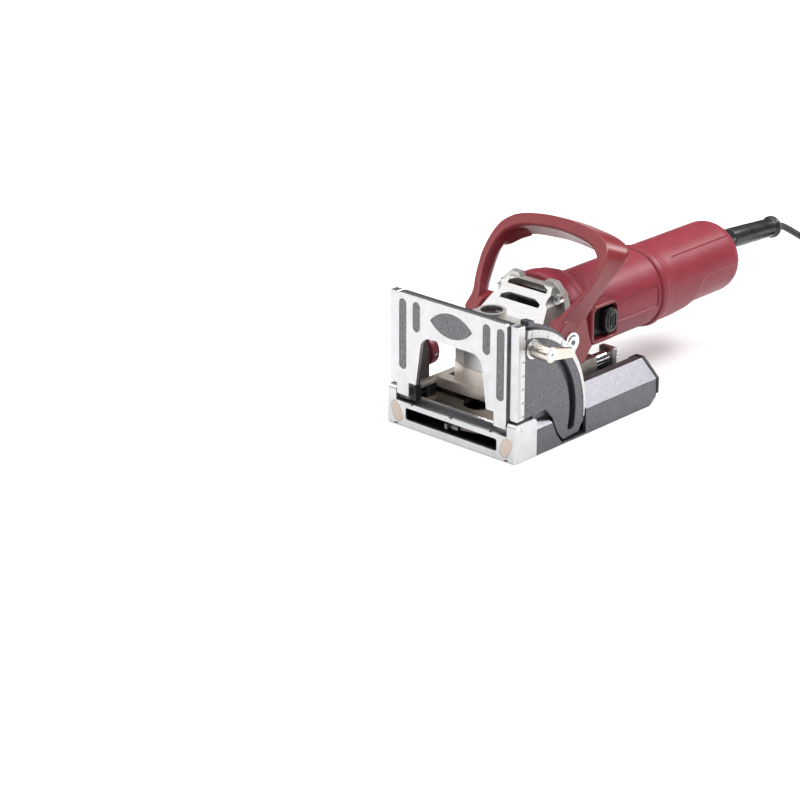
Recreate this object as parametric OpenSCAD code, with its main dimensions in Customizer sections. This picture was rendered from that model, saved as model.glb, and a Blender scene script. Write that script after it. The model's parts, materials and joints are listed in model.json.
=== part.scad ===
// Biscuit joiner. Millimetres, +Z up. The front working face is the plane y = 0, the sole is z = 0,
// and x = 0 is the middle. The motor reaches back along +Y.

/* [Base] */
// Width of the base over its two side walls
base_w = 120; // [118:1:122]
// Length of the base from the front face to the rear caps
base_l = 160; // [156:1:166]
// Height of the centre of the cutter slot above the sole
slot_z = 10; // [9.5:0.25:10.5]
// Height of the cutter slot
slot_h = 8.7; // [8:0.1:9]
// Half length of the cutter slot
slot_half = 42.9; // [41:0.1:43.5]

/* [Cutter] */
// Diameter over the cutter tips
cutter_d = 100; // [98:0.5:100]
// Width of the groove that the tips cut
kerf = 4; // [3:0.2:4]
// Number of cutter tips
tips = 6; // [4:1:8]
// Distance of the cutter axis behind the front face, at rest
cutter_y = 51.5; // [51.5:0.25:52.5]

/* [Fence] */
// Width of the fence plate
fence_w = 102.4; // [100:0.2:102.8]
// Height of the top edge of the fence plate above the sole
fence_top = 101; // [99:0.5:103]
// Thickness of the fence plate
fence_t = 3; // [2.5:0.1:3]
// Outer radius of the angle quadrant
quadrant_r = 71.6; // [70:0.2:72]
// Radius of the clamping slot's middle line
quadrant_slot_r = 58; // [57:0.5:59]

/* [Motor] */
// Height of the motor axis above the sole
motor_z = 64; // [64:0.5:65]
// Radius of the front motor casing
motor_r = 29.5; // [29:0.1:30]
// Distance of the rear end of the grip from the front face
grip_end = 305; // [300:1:312]

/* [Cord] */
// Diameter of the mains cord
cord_d = 5.6; // [5:0.1:6]

/* [Hidden] */
$fn = 48;

// Shared places
hw = base_w / 2;
pivot_y = 5;
pivot_z = 24.2;
post_y = 23.5;
post_z = 28.8;
post_in = hw - 8;
cap_t = 2.4;
duct_y = 77;
duct_end = base_l - cap_t;
chamber_x = 51;
chamber_end = 104;
floor_t = 2.5;
deck_z = 20;
deck_t = 3;
ledge_z = 24.5;
rail_in = 43.2;
rod_x = 23;
rod_z = 31;
rod_r = 5;
rod_front = 60;
rod_rear = 153;
bracket_t = 5;
block_y = 106;
stud_a = 77.4;
stud_y = pivot_y + quadrant_slot_r * cos(stud_a);
stud_z = pivot_z + quadrant_slot_r * sin(stud_a);
stud_r = 3;
rail_x = 53;
quadrant_x = 55.4;
quadrant_t = 3.6;
turret_x = -58;
turret_z = 45;
turret_y = 33.5;
turret_r = 11.5;
flange_y = 86;
flange_t = 6;
bell_y = 92.1;
seam_y = 201;
foot_x = 32.4;
foot_t = 12.1;
handle_screw_y = 77;
handle_screw_z = 65.6;
button_y = 43;
boss_top = 88.3;

// Bevel gear pair: both pitch cones meet where the two axes cross
pinion_teeth = 11;
crown_teeth = 30;
crown_pitch_r = 15;
pinion_pitch_r = crown_pitch_r * pinion_teeth / crown_teeth;
cone_a = atan(pinion_teeth / crown_teeth);
cone_l = crown_pitch_r / cos(cone_a);
face_l = 5;
tooth_root = 1.1;
tooth_tip = 0.8;
tooth_scale = 1 - face_l / cone_l;
travel = 21.5;

// Duct section, right side, as x and z
duct = [[34.1, 0], [60, 0], [60, 19.3], [46.3, 32], [39.2, 31.7], [34.1, 28.5]];
duct_in = [[36.6, floor_t], [57.5, floor_t], [57.5, 18.2], [45.4, 29.4], [39.9, 29.1], [36.6, 27.1]];

// Handle bow: a row per station, from the foot to the middle of the grip. Each has x and the distance up
// the sloping plane of the outer front edge, of the inner front edge and of the outer back edge, then
// how far back the outer back edge and the inner back edge lie
bow = [[42, -34, 33, -34, 43.8, -31, 26, 22], [43.5, -20, 37.2, -20, 45.1, -17, 21, 14],
    [47.2, -10, 41.3, -11, 46.9, -8, 19.5, 12.5], [50.2, 0, 44.6, -1.5, 48.2, 1, 18.5, 12],
    [52.4, 10, 46.4, 8, 50.3, 12, 18.5, 11.5], [52.9, 19, 46.6, 16, 52, 22, 19, 11],
    [52.1, 28, 45.6, 23, 53.8, 32, 20, 12], [49.9, 35, 43.4, 28.6, 55, 39.5, 20.5, 13.5],
    [46.5, 39.4, 40.3, 32, 54.6, 45.4, 21, 15], [41, 43.9, 36, 35.3, 50.6, 50, 21, 16.5],
    [34.7, 46.5, 29.5, 38, 43, 53.6, 21, 18], [26, 48.6, 21.5, 39.8, 32, 56, 21, 19],
    [13, 50.4, 11, 41.1, 15, 58, 21, 20.3], [0, 50.9, 0, 41.6, 0, 58.8, 21, 20.5]];
bow_a = atan(0.9);
bow_y = 85;
bow_z = 100;

// Strain relief: its axis droops a little from the end of the grip
relief_a = 4;
relief_start = [0, grip_end - 8, 74];
gland_l = 24;
relief_l = 59;
exit_l = gland_l + relief_l;
cord_exit = relief_start + exit_l * [0, cos(relief_a), -sin(relief_a)];

// Cord route from the strain relief down to the coil on the floor, and from the coil to the plug
route = [cord_exit, [0, 386, 67.4], [0, 392, 65.6], [0, 400, 61.6], [0, 410, 55.8], [0, 420, 49.8],
    [0, 430, 43.8], [0, 440, 38.2], [0, 450, 33], [0, 460, 28.4], [0, 470, 24.4], [0, 480, 21.4]];
tail = [[-5.6, 488, 3.2], [-5.6, 497, 6.4], [-5.6, 506, 11.2], [-5.6, 514, 15], [-5.6, 522, 16.8],
    [-5.6, 527, 17]];
coil_c = [33.8, 480];
coil_r = 31;
coil_w = 4 * cord_d;
coil_h = 4 * cord_d;
plug_c = [-5.6, 547, 17];

// Skin over rings of equal point counts, closed at both ends
module loft(rings) {
    n = len(rings[0]);
    m = len(rings);
    sides = [for (i = [0 : m - 2], j = [0 : n - 1]) let (
            a = i * n + j,
            b = i * n + (j + 1) % n
        ) each [[a, a + n, b + n], [a, b + n, b]]];
    start = [for (j = [0 : n - 1]) j];
    stop = [for (j = [n - 1 : -1 : 0]) (m - 1) * n + j];
    polyhedron([for (r = rings) each r], concat(sides, [start], [stop]));
}

// A slab standing in the y-z plane, drawn as (y, z), from x0 through t
module slab_x(x0, t) { translate([x0, 0, 0]) rotate([90, 0, 90]) linear_extrude(t) children(); }
// A slab standing in the x-z plane, drawn as (x, z), from y0 through t
module slab_y(y0, t) { translate([0, y0 + t, 0]) rotate([90, 0, 0]) linear_extrude(t) children(); }
// A bar along X, Y
module bar_x(x0, l, y, z, r, r2 = -1) {
    translate([x0, y, z]) rotate([0, 90, 0]) cylinder(h = l, r1 = r, r2 = r2 < 0 ? r : r2);
}
module bar_y(y0, l, x, z, r, r2 = -1) {
    translate([x, y0, z]) rotate([-90, 0, 0]) cylinder(h = l, r1 = r, r2 = r2 < 0 ? r : r2);
}
// A block from its low corner to its high corner
module block(a, b) { translate(a) cube(b - a); }
// The same piece on both sides of the middle
module both_sides() {
    children();
    mirror([1, 0, 0]) children();
}
// Rectangle with round corners, from one corner to the other
module round_rect(a, b, r) {
    translate([a.x + r, a.y]) square([b.x - a.x - 2 * r, b.y - a.y]);
    translate([a.x, a.y + r]) square([b.x - a.x, b.y - a.y - 2 * r]);
    for (x = [a.x + r, b.x - r], y = [a.y + r, b.y - r]) translate([x, y]) circle(r);
}
// Upright or slanted bar with round ends
module stadium(c, l, w, a = 0) {
    translate(c) rotate(a) {
        translate([-w / 2, -(l - w) / 2]) square([w, l - w]);
        for (s = [-1, 1]) translate([0, s * (l - w) / 2]) circle(w / 2);
    }
}
// Sector of a disc about the fence pivot, between two angles and two radii
module pivot_arc(r1, r2, a1, a2) {
    mid = (a1 + a2) / 2;
    reach = 2.2 * r2;
    translate([pivot_y, pivot_z]) intersection() {
        difference() { circle(r2, $fn = 96); circle(r1, $fn = 96); }
        polygon([[0, 0], for (a = [a1, mid, a2]) reach * [cos(a), sin(a)]]);
    }
}

// ---- Base ----

module post_outline() {
    translate([0, 0]) square([post_y, post_z - 4.5]);
    translate([3, 0]) square([post_y - 7.5, post_z]);
    translate([0, 0]) square([3, post_z - 3]);
    translate([3, post_z - 3]) circle(3);
    translate([post_y - 4.5, post_z - 4.5]) circle(4.5);
}

module front_plate() {
    lip_t = 2.4;
    lip_z = 18.8;
    color([0.86, 0.86, 0.87]) difference() {
        union() {
            block([-post_in, 0, 0], [post_in, lip_t, lip_z]);
            both_sides() slab_x(post_in, 8) post_outline();
        }
        slab_y(-1, lip_t + 2) round_rect([-slot_half, slot_z - 4.2], [slot_half, slot_z + 4.5], 1.5);
        for (x = [-37, 0, 37]) block([x - 1.2, -1, lip_z - 1.2], [x + 1.2, lip_t + 1, lip_z + 1]);
        both_sides() {
            block([post_in - 1.5, -1, -1], [post_in + 1.5, lip_t, 1.4]);
            slab_y(-0.5, 2) stadium([51.5, 10.2], 15.6, 9, -24);
            bar_x(post_in - 1, 9.6, pivot_y, pivot_z, 2);
        }
    }
}

module grip_pads() {
    color([0.9, 0.84, 0.78]) both_sides() slab_y(-0.2, 1.65) stadium([51.5, 10.2], 15.5, 8.9, -24);
}

module sole_opening() {
    block([-50.1, 25.9, -1], [50.1, 142.1, floor_t]);
}

module base_housing() {
    side = [[chamber_x, 0], [hw, 0], [hw, 19.3], [54, ledge_z], [44, ledge_z], [44, deck_z - deck_t],
        [chamber_x, deck_z - deck_t]];
    recess = [[29, 40], [38, 25], [44.8, 9.2], [51.2, 1.2], [duct_y + 1, 1.2], [duct_y + 1, 40]];
    color([0.4, 0.4, 0.42]) difference() {
        union() {
            block([-post_in + 0.1, 2.5, 0], [post_in - 0.1, post_y + 0.2, 17]);
            both_sides() {
                block([44, 13, 17], [post_in - 0.1, post_y + 0.2, deck_z]);
                slab_y(post_y + 0.1, duct_y - post_y - 0.1) polygon(side);
            }
            block([-chamber_x, post_y, 0], [chamber_x, duct_y, floor_t]);
        }
        // Cutter chamber, lower under the front strip
        block([-50.6, 2, floor_t], [50.6, 13.1, 14.6]);
        block([-50.6, 13, floor_t], [50.6, post_y + 0.3, 14.6]);
        block([-chamber_x, post_y + 0.2, floor_t], [chamber_x, duct_y + 1, 17]);
        translate([0, cutter_y - travel, 14]) cylinder(h = 4, r = 8);
        sole_opening();
        // Room for the quadrant, on the right
        slab_x(54.6, 6) polygon(recess);
    }
}

module dust_ducts() {
    color([0.4, 0.4, 0.42]) difference() {
        union() {
            both_sides() slab_y(duct_y, duct_end - duct_y) polygon(duct);
            block([-34.2, chamber_end, 0], [34.2, duct_end, deck_z]);
        }
        // Open to the cutter chamber in front
        block([-57.5, duct_y - 1, floor_t], [57.5, duct_y + 3.1, 17]);
        block([-chamber_x, duct_y - 1, floor_t], [chamber_x, chamber_end, 17]);
        both_sides() slab_y(duct_y + 3, duct_end - duct_y) polygon(duct_in);
        // Opening for the sole plate, and the hollow above it
        sole_opening();
        block([-27, 108, -1], [27, 140, 16]);
        // Bevel under the rear edge
        slab_x(-hw - 1, base_w + 2) polygon([[150, -1], [base_l + 1, -1], [base_l + 1, 7.7], [150, 0]]);
        both_sides() for (y = [114, 134]) translate([30.6, y, 0]) cylinder(h = 12, r = 1.5);
    }
}

module sole_plate() {
    color([0.72, 0.72, 0.72]) difference() {
        block([-50, 26, 0], [50, 142, floor_t - 0.1]);
        both_sides() for (y = [114, 134]) translate([30.6, y, -1]) {
            cylinder(h = 5, r = 1.7);
            cylinder(h = 2.5, r1 = 3.3, r2 = 3.3);
        }
    }
}

module sole_screws() {
    color([0.75, 0.75, 0.76]) both_sides() for (y = [114, 134]) translate([30.6, y, 0.1]) difference() {
        union() {
            cylinder(h = 1.3, r = 3.1);
            cylinder(h = 11, r = 1.45);
        }
        for (a = [0, 90]) rotate(a) translate([-1.8, -0.4, -1]) cube([3.6, 0.8, 1.7]);
    }
}

module deck_plate() {
    color([0.72, 0.67, 0.62]) difference() {
        union() {
            block([-43.9, 13.1, deck_z - deck_t + 0.05], [43.9, 76.9, deck_z]);
            block([-33.9, 76, deck_z - deck_t + 0.05], [33.9, 103.9, deck_z]);
        }
        for (y = [32, cutter_y]) translate([0, y, 10]) cylinder(h = 20, r = 12, $fn = 24);
        block([-12, 32, 10], [12, cutter_y, 30]);
    }
}

module sight_strip() {
    color([0.82, 0.82, 0.82]) difference() {
        block([-39, 10.4, 17], [39, 13, 20.4]);
        for (i = [-12 : 12]) block([i * 3 - 0.5, 9, 19.9], [i * 3 + 0.5, 14, 21]);
    }
}

module side_rails() {
    color([0.75, 0.7, 0.65]) both_sides() block([rail_in, 17, ledge_z], [50, 76, ledge_z + 3]);
}

module guide_rods() {
    color([0.8, 0.8, 0.82]) both_sides() {
        bar_y(rod_front, rod_rear - rod_front - 1, rod_x, rod_z, rod_r);
        bar_y(rod_rear - 1, 1, rod_x, rod_z, rod_r, rod_r - 1);
    }
}

module rod_brackets() {
    color([0.32, 0.32, 0.34]) both_sides() for (y = [rod_front, 144]) difference() {
        block([16.6, y, deck_z], [29.4, y + bracket_t, 38]);
        bar_y(y - 1, bracket_t + 2, rod_x, rod_z, rod_r + 0.02);
    }
}

module return_springs() {
    y0 = rod_front + bracket_t;
    color([0.6, 0.6, 0.62]) both_sides() difference() {
        bar_y(y0 + 0.1, block_y - y0 - 0.2, rod_x, rod_z, 6.9);
        bar_y(y0 - 1, block_y - y0 + 2, rod_x, rod_z, 5.3);
    }
}

module rear_cap_outline() {
    polygon([[33.6, 7.8], [60.5, 7.8], [60.5, 19.6], [46.6, 32.7], [39, 32.4], [33.6, 29]]);
}

module rear_caps() {
    color([0.16, 0.16, 0.17]) {
        slab_y(duct_end, cap_t) rear_cap_outline();
        difference() {
            mirror([1, 0, 0]) slab_y(duct_end, cap_t) rear_cap_outline();
            bar_y(duct_end - 1, cap_t + 2, -46.5, 18, 8.5);
        }
    }
}

module clamp_bracket() {
    color([0.36, 0.36, 0.38]) difference() {
        union() {
            slab_x(51.8, 2.8) intersection() {
                translate([pivot_y, pivot_z]) circle(quadrant_r + 3, $fn = 96);
                polygon([[24.2, ledge_z], [46, ledge_z], [57, 75.5], [66, 110], [12, 110], [12, 33], [24.2, 33]]);
            }
            slab_x(51.8, 2.8) pivot_arc(50, 66, 1, 70);
            slab_x(51.8, 2.8) pivot_arc(quadrant_r, quadrant_r + 6.5, 79.5, 84);
            slab_x(51.8, 7.6) pivot_arc(quadrant_r + 3, quadrant_r + 6.5, 79.5, 84);
        }
        bar_x(50, 6, stud_y, stud_z, stud_r);
    }
}

module clamp_stud() {
    color([0.72, 0.72, 0.74]) bar_x(48.5, 24.3, stud_y, stud_z, stud_r);
    color([0.72, 0.72, 0.74]) bar_x(48.5, 3.2, stud_y, stud_z, 5);
}

module clamp_washer() {
    color([0.85, 0.87, 0.9]) difference() {
        bar_x(59.2, 1.2, stud_y, stud_z, 6.9);
        bar_x(58, 4, stud_y, stud_z, stud_r + 0.05);
    }
}

module turret_bracket() {
    color([0.3, 0.3, 0.31]) difference() {
        slab_x(-62, 13) {
            polygon([[13, deck_z], [32, deck_z], [32, 48], [29, 56], [23, 62], [13, 66]]);
        }
        block([-52.1, 0, 0], [-48, post_y + 0.3, ledge_z + 3.3]);
        block([-63, 0, 0], [-51.9, post_y + 0.3, post_z + 0.3]);
        slab_y(10, 25) polygon([[-63, 19.4], [-60, 19.4], [-54, ledge_z + 0.05], [-48, ledge_z + 0.05],
            [-48, 10], [-63, 10]]);
        block([-50.3, 10, 20], [-48, 33, ledge_z + 3.1]);
        bar_y(20, 20, turret_x, turret_z, 2.5);
    }
}

module turret_shaft() {
    color([0.7, 0.7, 0.72]) bar_y(20, 24.5, turret_x, turret_z, 2.5);
    color([0.7, 0.7, 0.72]) bar_y(42.8, 1.7, turret_x, turret_z, 3.3);
}

module hinge_pins() {
    color([0.7, 0.7, 0.72]) both_sides() bar_x(42, hw - 42.4, pivot_y, pivot_z, 2);
}

// ---- Fence ----

module window_outline() {
    polygon([[-33, 34.4], [-29, 62.5], [29, 62.5], [33, 34.4]]);
    translate([-40, 20]) square([80, 14.5]);
    translate([-19, 62]) square([38, 10.5]);
    for (x = [-19, 19]) translate([x, 62.5]) circle(10);
}

module lens_outline(a, h) {
    r = (a * a + h * h) / (2 * h);
    translate([0, 86.8]) intersection() {
        translate([0, h - r]) circle(r, $fn = 96);
        translate([0, r - h]) circle(r, $fn = 96);
    }
}

module insert_outlines(grow = 0) {
    for (s = [-1, 1]) {
        stadium([s * 45.6, 70.15], 52.9 + grow, 6.8 + grow);
        stadium([s * 32.7, 85.75], 22.3 + grow, 6.8 + grow);
    }
}

module fence_plate() {
    color([0.9, 0.9, 0.91]) difference() {
        slab_y(0, fence_t) difference() {
            union() {
                round_rect([-fence_w / 2, 60], [fence_w / 2, fence_top], 3);
                translate([-fence_w / 2, 24]) square([fence_w, 40]);
            }
            window_outline();
        }
        slab_y(-0.2, 1) insert_outlines(0.1);
        slab_y(-0.2, 1) lens_outline(19.6, 9.15);
        both_sides() for (z = [36, 66, 94]) bar_y(1.4, 3, 46.2, z, 2);
        both_sides() bar_x(40.5, 12, pivot_y, pivot_z, 2.3);
    }
}

module fence_inserts() { color([0.4, 0.4, 0.42]) slab_y(0.2, 0.6) insert_outlines(); }

module fence_badge() { color([0.42, 0.43, 0.44]) slab_y(0.1, 0.7) lens_outline(19.5, 9.05); }

module fence_carrier() {
    color([0.4, 0.4, 0.42]) difference() {
        union() {
            slab_y(fence_t + 0.05, 5.95) difference() {
                round_rect([-rail_x, 30.6], [rail_x, fence_top - 1.2], 2.5);
                polygon([[-37, 30], [-37, 66], [-30, 76], [30, 76], [37, 66], [37, 30]]);
            }
            both_sides() slab_y(fence_t + 0.05, 5.95) translate([41, 20.4]) square([10.3, 12]);
        }
        both_sides() bar_x(40, 13, pivot_y, pivot_z, 2.05);
        both_sides() for (z = [36, 66, 94]) bar_y(2, 8, 46.2, z, 2);
    }
}

module fence_rails() {
    color([0.86, 0.86, 0.87]) both_sides() slab_y(2.2, 6.8)
        round_rect([rail_x, 30.6], [hw, fence_top - 1.2], 1);
}

module stop_block() {
    color([0.12, 0.12, 0.13]) difference() {
        block([-41, 3.2, 20.6], [-35.7, 8.8, 30.5]);
        bar_y(2.5, 4, -38, 26.5, 1.7);
    }
    color([0.7, 0.7, 0.72]) bar_y(3, 3.5, -38, 26.5, 1.65);
}

module quadrant_outline() {
    intersection() {
        translate([pivot_y, pivot_z]) circle(quadrant_r, $fn = 96);
        polygon([[9, 30.9], [33.8, 30.9], [41, 23], [46.6, 10.5], [53.2, 2.7], [70, 3.8], [73.4, 9.3],
            [90, 20], [90, 110], [9, 110]]);
    }
}

module quadrant() {
    slot_w = 6.6;
    low_a = -13;
    high_a = stud_a + 0.8;
    color([0.42, 0.42, 0.44]) slab_x(quadrant_x, quadrant_t) difference() {
        quadrant_outline();
        pivot_arc(quadrant_slot_r - slot_w / 2, quadrant_slot_r + slot_w / 2, low_a, high_a);
        for (a = [low_a, high_a]) translate([pivot_y, pivot_z])
            translate(quadrant_slot_r * [cos(a), sin(a)]) circle(slot_w / 2 + 0.15);
    }
}

module angle_scale() {
    color([0.86, 0.86, 0.87]) slab_x(quadrant_x + quadrant_t, 0.4)
        translate([pivot_y, pivot_z]) polygon([
            for (a = [-8 : 4 : 84]) (quadrant_r - 0.2) * [cos(a), sin(a)],
            for (a = [84 : -4 : -8]) (quadrant_r - 1.2 - 4.9 * pow((a + 8) / 92, 0.8)) * [cos(a), sin(a)]
        ]);
}

module height_scale() {
    color([0.86, 0.86, 0.87]) slab_x(hw, 0.3) translate([3.2, 32]) square([5.6, 58]);
}

module fence_screws() {
    color([0.75, 0.75, 0.76]) both_sides() for (z = [36, 66, 94]) difference() {
        union() {
            bar_y(1.5, 7.5, 46.2, z, 1.95);
            bar_y(9, 2.2, 46.2, z, 3.5);
        }
        slab_y(10, 3) translate([46.2, z]) circle(1.5, $fn = 6);
    }
}

// ---- Clamp lever ----

module clamp_lever() {
    tip = 27;
    color([0.8, 0.76, 0.72]) difference() {
        union() {
            bar_x(60.6, 16, stud_y, stud_z, 5.6);
            slab_x(72.6, 3) {
                polygon([[stud_y, stud_z - 4.6], [stud_y + tip - 4, stud_z - 8.5],
                    [stud_y + tip - 4, stud_z - 1.5], [stud_y, stud_z + 4.6]]);
                translate([stud_y + tip - 4, stud_z - 5]) circle(3.5);
            }
        }
        bar_x(60, 13, stud_y, stud_z, stud_r + 0.05);
        bar_x(72, 3.5, stud_y, stud_z, 2);
        bar_x(75.2, 3, stud_y, stud_z, 4.3);
    }
}

module clamp_lever_screw() {
    color([0.82, 0.84, 0.86]) difference() {
        union() {
            bar_x(75.3, 1.6, stud_y, stud_z, 4.2);
            bar_x(73.1, 3, stud_y, stud_z, 1.9);
        }
        for (a = [0, 90]) translate([76.9, stud_y, stud_z]) rotate([a, 0, 0])
            cube([2, 4.6, 0.9], center = true);
    }
}

// ---- Depth turret ----

module depth_turret() {
    color([0.55, 0.1, 0.12]) difference() {
        union() {
            bar_y(turret_y, 6.5, turret_x, turret_z, turret_r);
            bar_y(turret_y + 6.5, 2.5, turret_x, turret_z, turret_r, turret_r - 2.5);
        }
        bar_y(turret_y - 1, 12, turret_x, turret_z, 2.55);
        for (i = [0 : 5]) translate([turret_x, turret_y + 5, turret_z]) rotate([0, i * 60 + 30, 0])
            translate([6.2, 0, 0]) rotate([-90, 0, 0]) cylinder(h = 5, r = 1.3);
    }
}

// ---- Machine that slides on the base ----

module carriage() {
    color([0.76, 0.71, 0.66]) difference() {
        union() {
            block([-42.8, 32.4, 22], [42.8, 42, 29.5]);
            block([-33, 41, 22], [33, 57, 29.5]);
            block([-13, 56, 22], [13, 128, 29.5]);
            block([-13, 106, 22], [13, 126, 29.5]);
            both_sides() {
                block([12, block_y, 22], [29.5, 126, 29.5]);
                block([16.5, block_y, 22], [29.5, 126, 37.4]);
            }
        }
        translate([0, cutter_y, 20]) cylinder(h = 12, r = 9);
        both_sides() bar_y(block_y - 1, 22, rod_x, rod_z, rod_r + 0.06);
    }
}

module spindle_guard() {
    color([0.8, 0.75, 0.7]) difference() {
        translate([0, 0, 29.5]) linear_extrude(13.3)
            polygon([[-17.5, 33.4], [17.5, 33.4], [32.5, 40.4], [32.5, 57.5], [16, 57.5], [16, 73],
                [-16, 73], [-16, 57.5], [-32.5, 57.5], [-32.5, 40.4]]);
        translate([0, cutter_y, 29]) cylinder(h = 4, r = 9);
        translate([0, cutter_y, 32.5]) cylinder(h = 12, r = 13);
    }
}

module gear_housing() {
    plan = [[-17.5, 34], [17.5, 34], [32.3, 41], [32.3, 87], [-32.3, 87], [-32.3, 41]];
    front = [[-32.3, 42.9], [32.3, 42.9], [32.3, 70], [20.5, 99], [-20.5, 99], [-32.3, 70]];
    side = [[34, 42.9], [34, 66], [38, 74], [50, 77.6], [64, 77.6], [84.2, 98.4], [87, 98.4], [87, 42.9]];
    flange = [[-32.3, 38.5], [32.3, 38.5], [32.3, 82], [28.5, 94.5], [20.5, 102], [12.5, 102],
        [10, 98.4], [-10, 98.4], [-12.5, 102], [-20.5, 102], [-28.5, 94.5], [-32.3, 82]];
    color([0.78, 0.77, 0.75]) difference() {
        union() {
            intersection() {
                translate([0, 0, 42.9]) linear_extrude(60) polygon(plan);
                slab_y(30, 60) polygon(front);
                slab_x(-40, 80) polygon(side);
            }
            translate([0, button_y, 60]) cylinder(h = boss_top - 60, r = 10.5);
            slab_y(flange_y, flange_t) polygon(flange);
            both_sides() bar_x(32, 0.35, handle_screw_y, handle_screw_z, 9);
        }
        // Gear chamber, shaft tunnel and bearing seats
        translate([0, cutter_y, 51.5]) cylinder(h = 10, r = 16.2);
        translate([0, cutter_y, 42]) cylinder(h = 10, r = 9);
        translate([0, cutter_y, 61]) cylinder(h = 6.5, r = 6.05);
        bar_y(cutter_y + 9, 40, 0, motor_z, 8);
        bar_y(flange_y + 1, 10, 0, motor_z, 22);
        // Air chamber behind the two vents
        slab_x(-17, 34) polygon([[70, 78.5], [93, 78.5], [93, 90], [86, 94], [83.5, 92]]);
        vent_cut(84.5, 95.2, 18, 12);
        vent_cut(76, 86.7, 18, 12);
        // Button bore, and pockets for the screws
        translate([0, button_y, 80]) cylinder(h = 12, r = 8.15);
        translate([0, button_y, 60]) cylinder(h = 22, r = 1.86);
        both_sides() {
            bar_y(66, 20, 26.2, 91.2, 4.3);
            bar_y(66, 20, 26.2, 45.5, 4.3);
            bar_y(80, 16, 26.2, 91.2, 2);
            bar_y(80, 16, 26.2, 45.5, 2);
            bar_x(20, 16, handle_screw_y, handle_screw_z, 3.2);
        }
    }
}

// A vent through the sloping front plate: six-sided, wider on one edge than on the other
module vent_cut(y, z, wide, narrow) {
    translate([0, y, z]) rotate([45, 0, 0]) translate([0, 0, -7]) linear_extrude(20)
        polygon([[-wide, -3.4], [wide, -3.4], [wide, -0.5], [narrow, 2.4], [-narrow, 2.4], [-wide, -0.5]]);
}

module gear_housing_screws() {
    color([0.8, 0.8, 0.81]) both_sides() for (z = [45.5, 91.2]) difference() {
        union() {
            bar_y(82.4, 3.5, 26.2, z, 3.7);
            bar_y(85.8, 7.6, 26.2, z, 1.95);
        }
        slab_y(81, 3) translate([26.2, z]) for (a = [0, 90]) rotate(a) square([5, 1], center = true);
    }
}

// A point on the sloping plane of the handle, set back from its front face by d
function bow_at(x, s, d) = [x, bow_y + s * sin(bow_a) + d * cos(bow_a), bow_z + s * cos(bow_a) - d * sin(bow_a)];

function toward(p, q, d) = p + d * (q - p) / norm(q - p);
function bow_ring(p, m) = let (
        a = bow_at(m * p[2], p[3], 0),
        b = bow_at(m * p[0], p[1], 0),
        c = bow_at(m * p[4], p[5], p[6]),
        g = bow_at(m * p[2], p[3], p[7])
    ) [toward(a, g, 1.5), toward(a, b, 1.5), toward(b, a, 0.8), toward(b, c, 0.8),
        toward(c, b, 3.5), toward(c, g, 3.5), toward(g, c, 3.5), toward(g, a, 3.5)];

module handle() {
    rings = [for (p = bow) bow_ring(p, 1), for (i = [len(bow) - 2 : -1 : 0]) bow_ring(bow[i], -1)];
    foot = [[70, 82], [63.5, 76], [64, 60], [78, 46], [94, 45], [101.5, 56], [97, 70], [95, 78], [86, 82]];
    color([0.6, 0.16, 0.19]) difference() {
        union() {
            loft(rings);
            both_sides() slab_x(foot_x, foot_t) polygon(foot);
        }
        both_sides() bar_x(30, 20, handle_screw_y, handle_screw_z, 3.6);
        both_sides() block([20, 50, 40], [foot_x, 110, 92]);
    }
}

module handle_screws() {
    x0 = foot_x + foot_t;
    color([0.85, 0.88, 0.88]) both_sides() difference() {
        union() {
            bar_x(x0, 1.6, handle_screw_y, handle_screw_z, 7.4);
            bar_x(x0 + 1.5, 0.9, handle_screw_y, handle_screw_z, 6, 4.6);
            bar_x(21, x0 - 20.5, handle_screw_y, handle_screw_z, 3.1);
        }
        slab_x(x0 + 0.4, 4) translate([handle_screw_y, handle_screw_z]) circle(2.6, $fn = 6);
    }
}

module bell_outline() {
    translate([0, motor_z]) intersection() {
        circle(39, $fn = 64);
        translate([-32.3, -25.4]) square([64.6, 70]);
    }
}

module motor_housing() {
    color([0.62, 0.2, 0.23]) difference() {
        union() {
            hull() {
                slab_y(bell_y, 9) bell_outline();
                slab_y(124.9, 0.1) translate([0, motor_z]) intersection() {
                    circle(33, $fn = 64);
                    translate([-40, -25.4]) square([80, 70]);
                }
            }
            bar_y(125, 9, 0, motor_z, 31.5, motor_r);
            bar_y(125, seam_y - 125, 0, motor_z, motor_r);
            slab_x(20, 15.5) round_rect([111.5, 50], [142, 79.5], 6);
        }
        block([-40, 90, 20], [40, 136, 38.5]);
        // Bearing seat, fan room and stator bore
        bar_y(91, 12, 0, motor_z, 15);
        bar_y(101, 27, 0, motor_z, 26.2);
        bar_y(125, 100, 0, motor_z, 26.5);
        // Air ways from the fan to the gear housing, side panel recess and switch window
        block([-16, 91, 80], [16, 102, 88]);
        block([28.2, 143.5, 57], [40, 197.5, 73.5]);
        slab_x(27.1, 10) round_rect([114.5, 53], [140.5, 77], 4);
        both_sides() bar_y(91, 9.2, 26.2, 91.2, 2);
        both_sides() bar_y(91, 9.2, 26.2, 45.5, 2);
    }
}

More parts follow.
